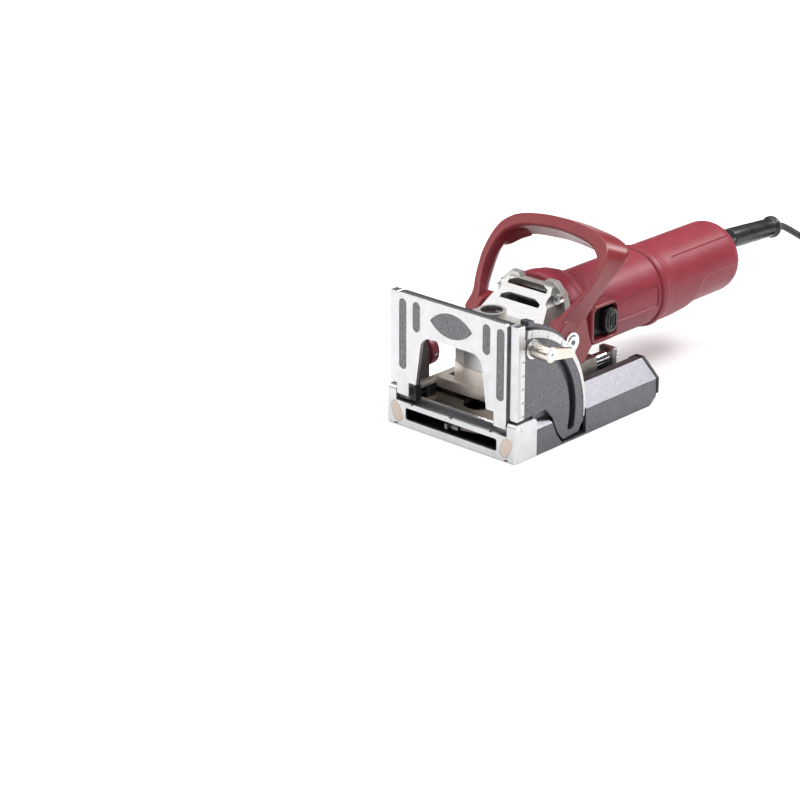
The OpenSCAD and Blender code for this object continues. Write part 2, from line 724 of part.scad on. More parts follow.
module rear_housing() {
    r = 28.8;
    e = 14;
    collar_r = 31;
    wall = 2.6;
    color([0.62, 0.2, 0.23]) difference() {
        union() {
            translate([0, 0, motor_z]) rotate([-90, 0, 0]) rotate_extrude($fn = 72) {
                translate([0, seam_y + 0.1]) square([collar_r, 8]);
                polygon([[0, seam_y + 8], [collar_r, seam_y + 8], [r, seam_y + 17], [r, grip_end - e],
                    [r - e, grip_end], [0, grip_end]]);
                intersection() {
                    translate([r - e, grip_end - e]) circle(e, $fn = 72);
                    translate([0, grip_end - 2 * e]) square([r, 2 * e]);
                }
            }
            hull() {
                bar_y(seam_y + 1, 36, 0, motor_z - 2.2, r);
                bar_y(seam_y + 48, 1, 0, motor_z, r - 0.2);
            }
        }
        bar_y(seam_y - 1, 12, 0, motor_z, 26.5);
        bar_y(seam_y + 10, 12, 0, motor_z, 11);
        bar_y(seam_y + 21, grip_end - seam_y - 37, 0, motor_z, r - wall);
        for (s = [-1, 1]) bar_y(seam_y + 10, 12, 0, motor_z + s * 19, 4);
        translate(relief_start) rotate([-90 - relief_a, 0, 0]) translate([0, 0, -12]) cylinder(h = 40, r = 8.2);
    }
}

module stator() {
    color([0.45, 0.45, 0.47]) difference() {
        bar_y(132, 54, 0, motor_z, 26.4);
        bar_y(131, 56, 0, motor_z, 18.8);
        for (a = [0, 180]) translate([0, 131, motor_z]) rotate([0, a, 0]) block([17, 0, -6], [21.5, 56, 6]);
    }
}

module brushes() {
    color([0.2, 0.2, 0.2]) both_sides() {
        bar_x(12.3, 14, 200, motor_z, 3.6);
    }
}

module switch_body() {
    color([0.06, 0.06, 0.06]) slab_x(27.2, 2.3) round_rect([115, 53.5], [140, 76.5], 3.8);
}

module relief_axis() { translate(relief_start) rotate([-90 - relief_a, 0, 0]) children(); }

module cord_gland() { color([0.07, 0.07, 0.07]) relief_axis() cylinder(h = gland_l, r = 8.1); }

module strain_relief() {
    color([0.07, 0.07, 0.07]) relief_axis() translate([0, 0, gland_l]) {
        cylinder(h = relief_l, r1 = 8, r2 = 7.4);
        translate([0, 0, relief_l - 3.5]) cylinder(h = 3.5, r = 8.8);
    }
}

// Cord tube: rings of points square to the route, joined into one skin
function ring(p, t, r, n) = let (
        u = [1, 0, 0],
        v = cross(t, u)
    ) [for (i = [0 : n - 1]) p + r * (cos(i * 360 / n) * u + sin(i * 360 / n) * v / norm(v))];
function way(r, i) = let (
        a = r[max(i - 1, 0)],
        b = r[min(i + 1, len(r) - 1)]
    ) (b - a) / norm(b - a);

module cord_tube(r) {
    loft([for (i = [0 : len(r) - 1]) ring(r[i], way(r, i), cord_d / 2, 10)]);
}

module cord() {
    color([0.06, 0.06, 0.06]) cord_tube(route);
    color([0.06, 0.06, 0.06]) cord_tube(tail);
}

module cord_coil() {
    color([0.06, 0.06, 0.06]) translate([coil_c.x, coil_c.y, 0]) rotate_extrude($fn = 72)
        round_rect([coil_r - coil_w / 2, 0], [coil_r + coil_w / 2, coil_h], cord_d / 2);
}

module plug() {
    color([0.06, 0.06, 0.06]) translate(plug_c) rotate([-90, 0, 0]) {
        translate([0, 0, -20]) cylinder(h = 16, r1 = 9, r2 = 16.8);
        translate([0, 0, -4.1]) cylinder(h = 20, r = 16.8);
        for (s = [-1, 1]) translate([s * 9.5, 0, 15.8]) cylinder(h = 19, r = 2.4);
    }
}

module depth_stop_rod() {
    color([0.72, 0.72, 0.74]) {
        bar_y(64.4, 26, -52, turret_z, 2.4);
        bar_y(66, 5, -52, turret_z, 4.6);
    }
    color([0.45, 0.45, 0.47]) block([-55, 82, turret_z - 6], [-44.5, 88, turret_z + 6]);
}

module bearings() {
    color([0.8, 0.8, 0.82]) {
        difference() {
            bar_y(93, 8, 0, motor_z, 14.9);
            bar_y(90, 14, 0, motor_z, 5.05);
        }
        difference() {
            bar_y(214, 7, 0, motor_z, 11);
            bar_y(210, 14, 0, motor_z, 4.05);
        }
        difference() {
            translate([0, cutter_y, 33]) cylinder(h = 8, r = 12.9);
            translate([0, cutter_y, 30]) cylinder(h = 14, r = 6.05);
        }
        difference() {
            translate([0, cutter_y, 62]) cylinder(h = 5, r = 6);
            translate([0, cutter_y, 60]) cylinder(h = 8, r = 3.55);
        }
    }
}

// ---- Armature ----

module armature() {
    color([0.6, 0.55, 0.5]) {
        bar_y(cutter_y + 12, 16, 0, motor_z, 2.5);
        bar_y(78.9, 130, 0, motor_z, 5);
        bar_y(208, 15, 0, motor_z, 4);
        difference() {
            bar_y(136, 46, 0, motor_z, 18);
            for (i = [0 : 11]) translate([0, 135, motor_z]) rotate([0, i * 30, 0])
                block([14, 0, -1], [19, 48, 1]);
        }
    }
}

module commutator() {
    color([0.72, 0.45, 0.3]) difference() {
        bar_y(192, 16, 0, motor_z, 12);
        bar_y(191, 18, 0, motor_z, 5);
    }
}

module fan() {
    color([0.2, 0.2, 0.2]) difference() {
        union() {
            bar_y(108, 2, 0, motor_z, 24.5);
            bar_y(108, 12, 0, motor_z, 8);
            for (i = [0 : 8]) translate([0, 109, motor_z]) rotate([0, i * 40, 0])
                block([7, 0, -0.8], [24, 9, 0.8]);
        }
        bar_y(100, 30, 0, motor_z, 5);
    }
}

// One bevel tooth on its cone line, tapering towards the point where the axes cross
module bevel_tooth() {
    linear_extrude(height = face_l, scale = tooth_scale)
        polygon([[-0.85, -tooth_root - 0.3], [0.85, -tooth_root - 0.3], [0.6, 0], [0.34, tooth_tip],
            [-0.34, tooth_tip], [-0.6, 0]]);
}

module pinion() {
    r1 = pinion_pitch_r;
    t1 = crown_pitch_r;
    color([0.5, 0.5, 0.52]) translate([0, cutter_y, motor_z]) difference() {
        union() {
            rotate([-90, 0, 0]) rotate_extrude()
                polygon([[0, 10.5], [3.05, 10.5], [4.45, 15.3], [4.45, 17.8], [0, 17.8]]);
            for (i = [0 : pinion_teeth - 1]) rotate([0, i * 360 / pinion_teeth, 0])
                translate([0, t1, -r1]) rotate([90 - cone_a, 0, 0]) rotate([0, 0, 180])
                    bevel_tooth();
        }
        bar_y(12, 12, 0, 0, 2.5);
    }
}

// ---- Cutter ----

module spindle() {
    color([0.7, 0.7, 0.72]) translate([0, cutter_y, 0]) {
        translate([0, 0, 4]) cylinder(h = 5, r = 6.9);
        translate([0, 0, 8.5]) cylinder(h = 3.2, r = 10.9);
        translate([0, 0, 11.6]) cylinder(h = 2.6, r = 14);
        translate([0, 0, 14]) cylinder(h = 45.5, r = 6);
        translate([0, 0, 59.4]) cylinder(h = 7.2, r = 3.5);
    }
}

module crown_gear() {
    r1 = crown_pitch_r;
    z1 = -pinion_pitch_r;
    color([0.5, 0.5, 0.52]) translate([0, cutter_y, motor_z]) difference() {
        union() {
            rotate_extrude($fn = 60) polygon([[0, -11], [15.3, -11], [15.3, -6.8], [14.7, -6.5],
                [10, -4.4], [0, -4.4]]);
            for (i = [0 : crown_teeth - 1]) rotate((i + 0.5) * 360 / crown_teeth)
                translate([0, r1, z1]) rotate([90 - cone_a, 0, 0]) bevel_tooth();
        }
        translate([0, 0, -20]) cylinder(h = 30, r = 6);
    }
}

module cutter() {
    r = cutter_d / 2;
    color([0.35, 0.33, 0.32]) translate([0, cutter_y, slot_z]) difference() {
        union() {
            translate([0, 0, -1.5]) cylinder(h = 3, r = r - 5, $fn = 96);
            for (i = [0 : tips - 1]) rotate(i * 360 / tips - 95) {
                translate([r - 14, -0.5, -1.5]) cube([11, 8, 3]);
                translate([r - 9, -3, -kerf / 2]) cube([8.9, 2.6, kerf]);
            }
        }
        translate([0, 0, -3]) cylinder(h = 6, r = 11);
        for (i = [0 : tips - 1]) rotate(i * 360 / tips - 95) translate([r - 6, -8, -3]) cylinder(h = 6, r = 5);
    }
}

module cutter_nut() {
    color([0.6, 0.6, 0.62]) translate([0, cutter_y, 4.2]) difference() {
        cylinder(h = 4.2, r = 15);
        translate([0, 0, -1]) cylinder(h = 6, r = 6.95);
        for (a = [0, 180]) rotate(a) translate([11, 0, -1]) cylinder(h = 3, r = 1.8);
    }
}

// ---- Controls ----

module switch_slider() {
    color([0.1, 0.1, 0.11]) {
        slab_x(33.6, 3) round_rect([124.6, 54], [139.6, 75.4], 3);
        block([29.8, 127, 56], [33.7, 137, 74]);
        for (y = [129, 132, 135]) block([36.5, y, 58], [37.6, y + 1.4, 71]);
    }
}

module spindle_lock_button() {
    color([0.05, 0.05, 0.05]) translate([0, button_y, 0]) {
        translate([0, 0, 84]) cylinder(h = 4, r = 8);
        translate([0, 0, 87.9]) cylinder(h = 0.9, r1 = 8, r2 = 7.2);
        translate([0, 0, 64.6]) cylinder(h = 20, r = 1.8);
    }
}

front_plate();
grip_pads();
base_housing();
dust_ducts();
sole_plate();
sole_screws();
deck_plate();
sight_strip();
side_rails();
guide_rods();
rod_brackets();
return_springs();
rear_caps();
clamp_bracket();
clamp_stud();
clamp_washer();
turret_bracket();
turret_shaft();
hinge_pins();
fence_plate();
fence_inserts();
fence_badge();
fence_carrier();
fence_rails();
stop_block();
quadrant();
angle_scale();
height_scale();
fence_screws();
clamp_lever();
clamp_lever_screw();
depth_turret();
carriage();
spindle_guard();
gear_housing();
gear_housing_screws();
handle();
handle_screws();
motor_housing();
rear_housing();
stator();
brushes();
switch_body();
cord_gland();
strain_relief();
cord();
cord_coil();
plug();
depth_stop_rod();
bearings();
armature();
commutator();
fan();
pinion();
spindle();
crown_gear();
cutter();
cutter_nut();
switch_slider();
spindle_lock_button();
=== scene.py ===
"""Biscuit joiner: the looks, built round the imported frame. Metres, +Z up, front working face at y = 0."""

import json
import math

import bmesh
import bpy
from mathutils import Matrix, Vector


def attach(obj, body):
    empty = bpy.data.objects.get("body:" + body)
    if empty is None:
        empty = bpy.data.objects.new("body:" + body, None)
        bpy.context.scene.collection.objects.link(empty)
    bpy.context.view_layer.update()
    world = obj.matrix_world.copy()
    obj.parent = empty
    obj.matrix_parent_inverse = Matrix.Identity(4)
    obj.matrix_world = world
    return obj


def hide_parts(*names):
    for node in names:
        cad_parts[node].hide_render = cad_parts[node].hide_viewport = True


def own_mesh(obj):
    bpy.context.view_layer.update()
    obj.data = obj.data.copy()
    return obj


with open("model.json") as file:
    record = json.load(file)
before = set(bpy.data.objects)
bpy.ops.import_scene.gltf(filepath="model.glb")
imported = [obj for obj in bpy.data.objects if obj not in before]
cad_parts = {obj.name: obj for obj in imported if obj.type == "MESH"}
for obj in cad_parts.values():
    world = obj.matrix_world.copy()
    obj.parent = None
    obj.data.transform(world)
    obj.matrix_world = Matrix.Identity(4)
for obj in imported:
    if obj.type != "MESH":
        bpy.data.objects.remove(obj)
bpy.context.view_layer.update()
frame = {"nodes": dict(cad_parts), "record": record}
nodes = frame["nodes"]
MM = 0.001

# ---------------------------------------------------------------- camera, floor and light

AZIMUTH, ELEVATION = math.radians(42.89), math.radians(21.81)
TARGET = Vector((-0.0794, 0.03356, 0.00075))
DISTANCE = 2.0445
LENS = 125.9


def direction(azimuth, elevation):
    """Unit vector from the target to a viewer at these angles."""
    return Vector((math.cos(elevation) * math.sin(azimuth),
                   -math.cos(elevation) * math.cos(azimuth),
                   math.sin(elevation)))


def aim(obj, place, target):
    """Puts obj at place, looking at target, with +Z up in its view."""
    obj.location = place
    obj.rotation_euler = (target - place).to_track_quat("-Z", "Y").to_euler()


def make_camera():
    data = bpy.data.cameras.new("camera")
    data.lens = LENS
    data.sensor_width = 36.0
    camera = bpy.data.objects.new("camera", data)
    bpy.context.collection.objects.link(camera)
    aim(camera, TARGET + DISTANCE * direction(AZIMUTH, ELEVATION), TARGET)
    bpy.context.scene.camera = camera
    bpy.context.scene.view_settings.view_transform = "Standard"


def area_light(name, azimuth, elevation, distance, size, power, target=(0.0, 0.1, 0.05)):
    data = bpy.data.lights.new(name, "AREA")
    data.shape = "RECTANGLE"
    data.size, data.size_y = size
    data.energy = power
    light = bpy.data.objects.new(name, data)
    bpy.context.collection.objects.link(light)
    target = Vector(target)
    spot = target + distance * direction(math.radians(azimuth), math.radians(elevation))
    aim(light, spot, target)


def make_world():
    """Bright overhead and darker towards the horizon, so that polished metal has something to mirror."""
    world = bpy.data.worlds.new("studio")
    world.use_nodes = True
    tree = world.node_tree
    background = tree.nodes["Background"]
    background.inputs["Strength"].default_value = 0.62
    place = tree.nodes.new("ShaderNodeTexCoord")
    split = tree.nodes.new("ShaderNodeSeparateXYZ")
    tree.links.new(place.outputs["Generated"], split.inputs["Vector"])
    ramp = tree.nodes.new("ShaderNodeValToRGB")
    stops = [(0.0, 0.6), (0.16, 0.06), (0.4, 0.12), (0.62, 0.75), (1.0, 1.2)]
    for k, (at, grey) in enumerate(stops):
        stop = ramp.color_ramp.elements[k] if k < 2 else ramp.color_ramp.elements.new(at)
        stop.position = at
        stop.color = (grey, grey, grey, 1.0)
    tree.links.new(split.outputs["Z"], ramp.inputs["Fac"])
    tree.links.new(ramp.outputs["Color"], background.inputs["Color"])
    bpy.context.scene.world = world


def make_studio():
    make_world()
    area_light("overhead", 20, 84, 1.9, (3.0, 3.0), 76)
    area_light("key_back", 155, 41, 1.5, (0.5, 0.36), 14)
    area_light("fill_left", -50, 30, 1.8, (0.9, 0.9), 6)
    mesh = bpy.data.meshes.new("floor")
    half = 6.0
    corners = [(-half, -half, 0), (half, -half, 0), (half, half, 0), (-half, half, 0)]
    mesh.from_pydata(corners, [], [(0, 1, 2, 3)])
    floor = bpy.data.objects.new("floor", mesh)
    bpy.context.collection.objects.link(floor)
    floor.location.z = -0.0003
    floor.data.materials.append(floor_material())


# ---------------------------------------------------------------- materials

class Look:
    """A procedural material: a Principled shader fed by noise in the object's own coordinates, in metres."""

    def __init__(self, name, metallic=0.0, **sockets):
        self.material = bpy.data.materials.new(name)
        self.material.use_nodes = True
        self.tree = self.material.node_tree
        self.shader = self.tree.nodes["Principled BSDF"]
        self.shader.inputs["Metallic"].default_value = metallic
        for key, value in sockets.items():
            self.shader.inputs[key.replace("_", " ")].default_value = value
        self.coordinates = self.tree.nodes.new("ShaderNodeTexCoord")

    def node(self, kind, **inputs):
        made = self.tree.nodes.new(kind)
        for key, value in inputs.items():
            made.inputs[key.replace("_", " ")].default_value = value
        return made

    def link(self, source, target):
        self.tree.links.new(source, target)

    def noise(self, grain_mm, stretch=(1, 1, 1), detail=3.0):
        """Noise whose grains are about grain_mm across, stretched by the given factors along X, Y and Z."""
        mapping = self.node("ShaderNodeMapping")
        scale = 1.0 / (grain_mm * MM)
        mapping.inputs["Scale"].default_value = [scale / s for s in stretch]
        self.link(self.coordinates.outputs["Object"], mapping.inputs["Vector"])
        texture = self.node("ShaderNodeTexNoise", Scale=1.0, Detail=detail, Roughness=0.55)
        self.link(mapping.outputs["Vector"], texture.inputs["Vector"])
        return texture.outputs["Fac"]

    def ramp(self, factor, stops):
        """Colour ramp with (place, colour) stops."""
        made = self.tree.nodes.new("ShaderNodeValToRGB")
        ramp = made.color_ramp
        for i, (place, colour) in enumerate(stops):
            stop = ramp.elements[i] if i < 2 else ramp.elements.new(place)
            stop.position = place
            stop.color = (*colour, 1.0)
        self.link(factor, made.inputs["Fac"])
        return made.outputs["Color"]

    def span(self, factor, low, high, start=0.3, end=0.7):
        """Maps factor from start..end to low..high."""
        made = self.node("ShaderNodeMapRange")
        for key, value in (("From Min", start), ("From Max", end), ("To Min", low), ("To Max", high)):
            made.inputs[key].default_value = value
        self.link(factor, made.inputs["Value"])
        return made.outputs["Result"]

    def colour(self, factor, dark, light, start=0.3, end=0.7):
        self.link(self.ramp(factor, [(start, dark), (end, light)]), self.shader.inputs["Base Color"])

    def roughness(self, factor, low, high):
        self.link(self.span(factor, low, high), self.shader.inputs["Roughness"])

    def bump(self, factor, depth_mm, strength=1.0):
        made = self.node("ShaderNodeBump", Strength=strength)
        made.inputs["Distance"].default_value = depth_mm * MM
        previous = self.shader.inputs["Normal"].links
        self.link(factor, made.inputs["Height"])
        if previous:
            self.link(previous[0].from_socket, made.inputs["Normal"])
        self.link(made.outputs["Normal"], self.shader.inputs["Normal"])


def floor_material():
    look = Look("floor_pale", Roughness=0.6)
    look.colour(look.noise(60), (0.86, 0.86, 0.86), (0.88, 0.88, 0.88))
    return look.material


def metal(name, dark, light, rough, grain_mm=0.35, stretch=(1, 1, 60), bump_mm=0.006, smudge=True):
    """Machined or plated metal with drawn grain and faint handling marks."""
    look = Look(name, metallic=1.0)
    grain = look.noise(grain_mm, stretch)
    look.colour(look.noise(9.0) if smudge else grain, dark, light)
    look.roughness(grain, *rough)
    look.bump(grain, bump_mm)
    return look.material


def plastic(name, dark, light, rough, grain_mm=0.45, bump_mm=0.02, **sockets):
    """Moulded plastic with an eroded texture."""
    look = Look(name, **sockets)
    look.colour(look.noise(14.0), dark, light)
    look.roughness(look.noise(8.0, detail=1.0), *rough)
    look.bump(look.noise(grain_mm, detail=2.0), bump_mm)
    return look.material


def powder_coat(name, dark, light, flake):
    """Anthracite coat with fine metallic flakes and an orange-peel surface."""
    look = Look(name, metallic=0.85, Coat_Weight=0.12, Coat_Roughness=0.3)
    speck = look.noise(0.32, detail=1.0)
    stops = [(0.38, dark), (0.56, light), (0.74, flake)]
    look.link(look.ramp(speck, stops), look.shader.inputs["Base Color"])
    look.roughness(speck, 0.34, 0.48)
    look.bump(look.noise(0.7), 0.018)
    return look.material


def serrated(name):
    """Bright strip with fine teeth across it, with painted shade in the tooth troughs and a painted highlight
    on the crests.
    """
    look = Look(name, metallic=1.0)
    teeth_and_painted_shade = look.node("ShaderNodeTexWave", Scale=1.0)
    mapping = look.node("ShaderNodeMapping")
    mapping.inputs["Scale"].default_value = [430, 0, 0]
    look.link(look.coordinates.outputs["Object"], mapping.inputs["Vector"])
    look.link(mapping.outputs["Vector"], teeth_and_painted_shade.inputs["Vector"])
    # painted shade and highlight: the colour follows the tooth height, dark (0.42) in the troughs and bright
    # (0.92) on the crests
    look.colour(teeth_and_painted_shade.outputs["Fac"], (0.42, 0.42, 0.43), (0.92, 0.92, 0.93), 0.2, 0.8)
    look.roughness(look.noise(0.4), 0.22, 0.34)
    look.bump(teeth_and_painted_shade.outputs["Fac"], 0.25)
    return look.material


def cast_metal(name):
    """Sand-cast aluminium: grainy, but smooth and bright on the machined sloping face and flange front."""
    look = Look(name, metallic=0.95)
    normal = look.coordinates.outputs["Normal"]
    faces = []
    for axis in ((0.0, -0.7071, 0.7071), (0.0, -1.0, 0.0)):
        dot = look.tree.nodes.new("ShaderNodeVectorMath")
        dot.operation = "DOT_PRODUCT"
        dot.inputs[1].default_value = axis
        look.link(normal, dot.inputs[0])
        faces.append(look.span(dot.outputs["Value"], 0.0, 1.0, 0.96, 0.985))
    most = look.tree.nodes.new("ShaderNodeMath")
    most.operation = "MAXIMUM"
    look.link(faces[0], most.inputs[0])
    look.link(faces[1], most.inputs[1])
    machined = most.outputs["Value"]
    sand = look.noise(0.55, detail=3.0)
    mix = look.tree.nodes.new("ShaderNodeMix")
    mix.data_type = "RGBA"
    look.link(machined, mix.inputs[0])
    look.link(look.ramp(sand, [(0.34, (0.38, 0.37, 0.35)), (0.66, (0.6, 0.59, 0.57))]), mix.inputs[6])
    look.link(look.ramp(look.noise(0.4, (30, 1, 1)), [(0.3, (0.48, 0.47, 0.46)), (0.7, (0.57, 0.565, 0.56))]),
              mix.inputs[7])
    look.link(mix.outputs[2], look.shader.inputs["Base Color"])
    look.link(look.span(machined, 0.5, 0.3, 0.0, 1.0), look.shader.inputs["Roughness"])
    height = look.tree.nodes.new("ShaderNodeMath")
    height.operation = "MULTIPLY"
    look.link(sand, height.inputs[0])
    look.link(look.span(machined, 1.0, 0.12, 0.0, 1.0), height.inputs[1])
    look.bump(height.outputs["Value"], 0.09)
    return look.material


def make_materials():
    """One material per finish, by the name that the record's slots use, with a few extra."""
    return {
        "silver": metal("brushed_silver", (0.53, 0.53, 0.54), (0.6, 0.6, 0.61), (0.26, 0.38)),
        "scale": metal("anodised_scale", (0.58, 0.58, 0.58), (0.64, 0.64, 0.64), (0.4, 0.5), smudge=False),
        "anthracite": powder_coat("anthracite_coat", (0.055, 0.053, 0.06), (0.12, 0.116, 0.13),
                                  (0.34, 0.34, 0.36)),
        "insert": powder_coat("anthracite_insert", (0.06, 0.059, 0.064), (0.16, 0.156, 0.166),
                              (0.44, 0.44, 0.46)),
        "nickel": metal("satin_nickel", (0.72, 0.65, 0.58), (0.84, 0.77, 0.7), (0.36, 0.5),
                        stretch=(40, 1, 1)),
        "lever_nickel": metal("lever_nickel", (0.56, 0.51, 0.45), (0.64, 0.59, 0.53), (0.2, 0.28),
                              stretch=(1, 1, 1), bump_mm=0.002),
        "chrome": metal("rod_chrome", (0.8, 0.8, 0.82), (0.88, 0.88, 0.9), (0.05, 0.11),
                        stretch=(1, 60, 1), bump_mm=0.001),
        "steel": metal("machined_steel", (0.52, 0.52, 0.53), (0.66, 0.66, 0.67), (0.26, 0.4),
                       stretch=(1, 40, 1)),
        "zinc": metal("zinc_plate", (0.7, 0.73, 0.74), (0.84, 0.87, 0.88), (0.2, 0.34), grain_mm=1.2,
                      stretch=(1, 1, 1), bump_mm=0.004),
        "spring": metal("spring_wire", (0.4, 0.4, 0.42), (0.56, 0.56, 0.58), (0.24, 0.34)),
        "copper": metal("copper", (0.6, 0.34, 0.22), (0.75, 0.46, 0.32), (0.25, 0.4)),
        "blade": metal("coated_blade", (0.12, 0.11, 0.11), (0.24, 0.22, 0.21), (0.3, 0.45),
                       stretch=(20, 1, 1)),
        "cast": cast_metal("cast_aluminium"),
        "red_plastic": plastic("red_casing", (0.185, 0.023, 0.035), (0.21, 0.028, 0.041), (0.39, 0.43),
                               Specular_IOR_Level=0.2),
        "turret_red": plastic("turret_red", (0.16, 0.026, 0.035), (0.19, 0.034, 0.044), (0.3, 0.4)),
        "red_handle": plastic("red_handle", (0.175, 0.023, 0.028), (0.195, 0.027, 0.033), (0.28, 0.31),
                              grain_mm=3.0, bump_mm=0.004, Specular_IOR_Level=0.3),
        "black_plastic": plastic("black_moulding", (0.012, 0.012, 0.013), (0.022, 0.022, 0.023),
                                 (0.3, 0.42), bump_mm=0.01, Specular_IOR_Level=0.2),
        "glossy_black": plastic("glossy_black", (0.006, 0.006, 0.007), (0.01, 0.01, 0.011), (0.16, 0.24),
                                bump_mm=0.004, Specular_IOR_Level=0.3),
        "rubber": plastic("black_rubber", (0.012, 0.012, 0.013), (0.022, 0.022, 0.024), (0.2, 0.3),
                          grain_mm=2.5, bump_mm=0.006, Specular_IOR_Level=0.3),
        "cord": plastic("cord_jacket", (0.03, 0.03, 0.032), (0.045, 0.045, 0.048), (0.42, 0.5),
                        grain_mm=0.6, bump_mm=0.005, Specular_IOR_Level=0.25),
        "serrated": serrated("serrated_strip"),
        "deck": metal("deck_plate", (0.28, 0.26, 0.24), (0.4, 0.37, 0.34), (0.1, 0.18),
                      stretch=(30, 1, 1), bump_mm=0.002),
        "pad": plastic("pad_rubber", (0.52, 0.43, 0.36), (0.58, 0.49, 0.42), (0.55, 0.7), bump_mm=0.03),
        "carbon": plastic("carbon", (0.02, 0.02, 0.02), (0.04, 0.04, 0.04), (0.5, 0.6),
                          Specular_IOR_Level=0.1),
        "ink": plastic("black_ink", (0.02, 0.02, 0.02), (0.03, 0.03, 0.03), (0.5, 0.6), bump_mm=0.001,
                       Specular_IOR_Level=0.1),
        "white_ink": plastic("white_ink", (0.75, 0.75, 0.75), (0.82, 0.82, 0.82), (0.5, 0.6),
                             bump_mm=0.001),
    }


# ---------------------------------------------------------------- mesh helpers

def add_object(name, mesh):
    made = bpy.data.objects.new(name, mesh)
    bpy.context.collection.objects.link(made)
    return made


def mesh_object(name, verts, faces, smooth=True):
    mesh = bpy.data.meshes.new(name)
    mesh.from_pydata([tuple(MM * c for c in v) for v in verts], [], faces)
    mesh.validate()
    work = bmesh.new()
    work.from_mesh(mesh)
    bmesh.ops.recalc_face_normals(work, faces=work.faces)
    work.to_mesh(mesh)
    work.free()
    for face in mesh.polygons:
        face.use_smooth = smooth
    return add_object(name, mesh)


def sharpen(obj, degrees=35):
    obj.data.set_sharp_from_angle(angle=math.radians(degrees))


def apply_modifiers(obj):
    bpy.context.view_layer.update()
    mesh = bpy.data.meshes.new_from_object(obj.evaluated_get(bpy.context.evaluated_depsgraph_get()))
    obj.modifiers.clear()
    obj.data = mesh


def bevel(obj, width_mm, segments=2, degrees=32):
    made = obj.modifiers.new("bevel", "BEVEL")
    made.width = width_mm * MM
    made.segments = segments
    made.limit_method = "ANGLE"
    made.angle_limit = math.radians(degrees)
    made.harden_normals = True
    made.use_clamp_overlap = True


def rings_mesh(name, rings, loop=False):
    """Skin over rings of equal point counts. loop joins the last ring to the first, else ends are closed."""
    n = len(rings[0])
    verts = [p for ring in rings for p in ring]
    count = len(rings)
    faces = []
    for i in range(count if loop else count - 1):
        a, b = i * n, ((i + 1) % count) * n
        faces += [(a + j, b + j, b + (j + 1) % n, a + (j + 1) % n) for j in range(n)]
    if not loop:
        faces.append(tuple(range(n - 1, -1, -1)))
        faces.append(tuple((count - 1) * n + j for j in range(n)))
    return mesh_object(name, verts, faces)


def lathe(name, profile, place, turn=Matrix.Identity(3), n=72):
    """Turned piece: profile is (radius, height) in mm along its own Z, then turned and placed (mm)."""
    place = Vector(place)
    rings = []
    for r, h in profile:
        angles = [2 * math.pi * j / n for j in range(n)]
        ring = [Vector((r * math.cos(a), r * math.sin(a), h)) for a in angles]
        rings.append([place + turn @ p for p in ring])
    return rings_mesh(name, rings)


def along(axis):
    """Rotation that turns +Z onto axis."""
    return Vector((0, 0, 1)).rotation_difference(Vector(axis).normalized()).to_matrix()


def smoothstep(a, b, t):
    t = min(1.0, max(0.0, (t - a) / (b - a)))
    return t * t * (3 - 2 * t)


def smooth_min(a, b, k):
    """The lesser of a and b, with a round of about k where they meet."""
    h = max(k - abs(a - b), 0.0) / k
    return min(a, b) - h * h * k * 0.25


def follow(points, t):
    """Catmull-Rom curve through points, t from 0 to 1."""
    spans = len(points) - 1
    i = min(int(t * spans), spans - 1)
    u = t * spans - i
    p0, p1, p2, p3 = (Vector(points[max(0, min(len(points) - 1, k))]) for k in (i - 1, i, i + 1, i + 2))
    return 0.5 * ((2 * p1) + (p2 - p0) * u + (2 * p0 - 5 * p1 + 4 * p2 - p3) * u ** 2
                  + (3 * p1 - p0 - 3 * p2 + p3) * u ** 3)


def profile_at(stops, y):
    """Value at y on a smooth line through (y, value) stops."""
    if y <= stops[0][0]:
        return stops[0][1]
    for (y0, v0), (y1, v1) in zip(stops, stops[1:]):
        if y <= y1:
            return v0 + (v1 - v0) * smoothstep(y0, y1, y)
    return stops[-1][1]


def fine_steps(start, end, step, edges=(), near=1.2, fine=0.2):
    """Values from start to end, closer together near the given edges."""
    values = set()
    count = max(2, int(round((end - start) / step)))
    values.update(start + (end - start) * i / count for i in range(count + 1))
    for edge in edges:
        k = int(near / fine)
        values.update(v for v in (edge + fine * i for i in range(-k, k + 1)) if start < v < end)
    ordered = sorted(values)
    kept = [ordered[0]]
    for v in ordered[1:]:
        if v - kept[-1] > 0.4 * fine:
            kept.append(v)
    kept[-1] = end
    return kept


def round_rect(a, b, r, n=6):
    """Points of a rectangle from corner a to corner b with round corners."""
    points = []
    centres = [(b[0] - r, b[1] - r), (a[0] + r, b[1] - r), (a[0] + r, a[1] + r), (b[0] - r, a[1] + r)]
    for i, (cx, cy) in enumerate(centres):
        for k in range(n + 1):
            t = math.pi / 2 * (i + k / n)
            points.append((cx + r * math.cos(t), cy + r * math.sin(t)))
    return points


def join(name, parts):
    """One object from several, keeping their materials."""
    mesh = bpy.data.meshes.new(name)
    work = bmesh.new()
    materials = []
    for part in parts:
        start = len(work.faces)
        offset = len(materials)
        materials += list(part.data.materials)
        copy = part.data.copy()
        copy.transform(part.matrix_world)
        work.from_mesh(copy)
        work.faces.ensure_lookup_table()
        for face in work.faces[start:]:
            face.material_index += offset
        bpy.data.meshes.remove(copy)
    work.to_mesh(mesh)
    work.free()
    for part in parts:
        bpy.data.objects.remove(part)
    made = add_object(name, mesh)
    for material in materials:
        made.data.materials.append(material)
    return made


def dress(obj, material, body, slot, *replaced):
    """Material, body, record slot (not used) and the CAD nodes that obj stands for."""
    if not obj.data.materials:
        obj.data.materials.append(looks[material])
    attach(obj, body)
    if replaced:
        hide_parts(*replaced)
    return obj


# ---------------------------------------------------------------- handle

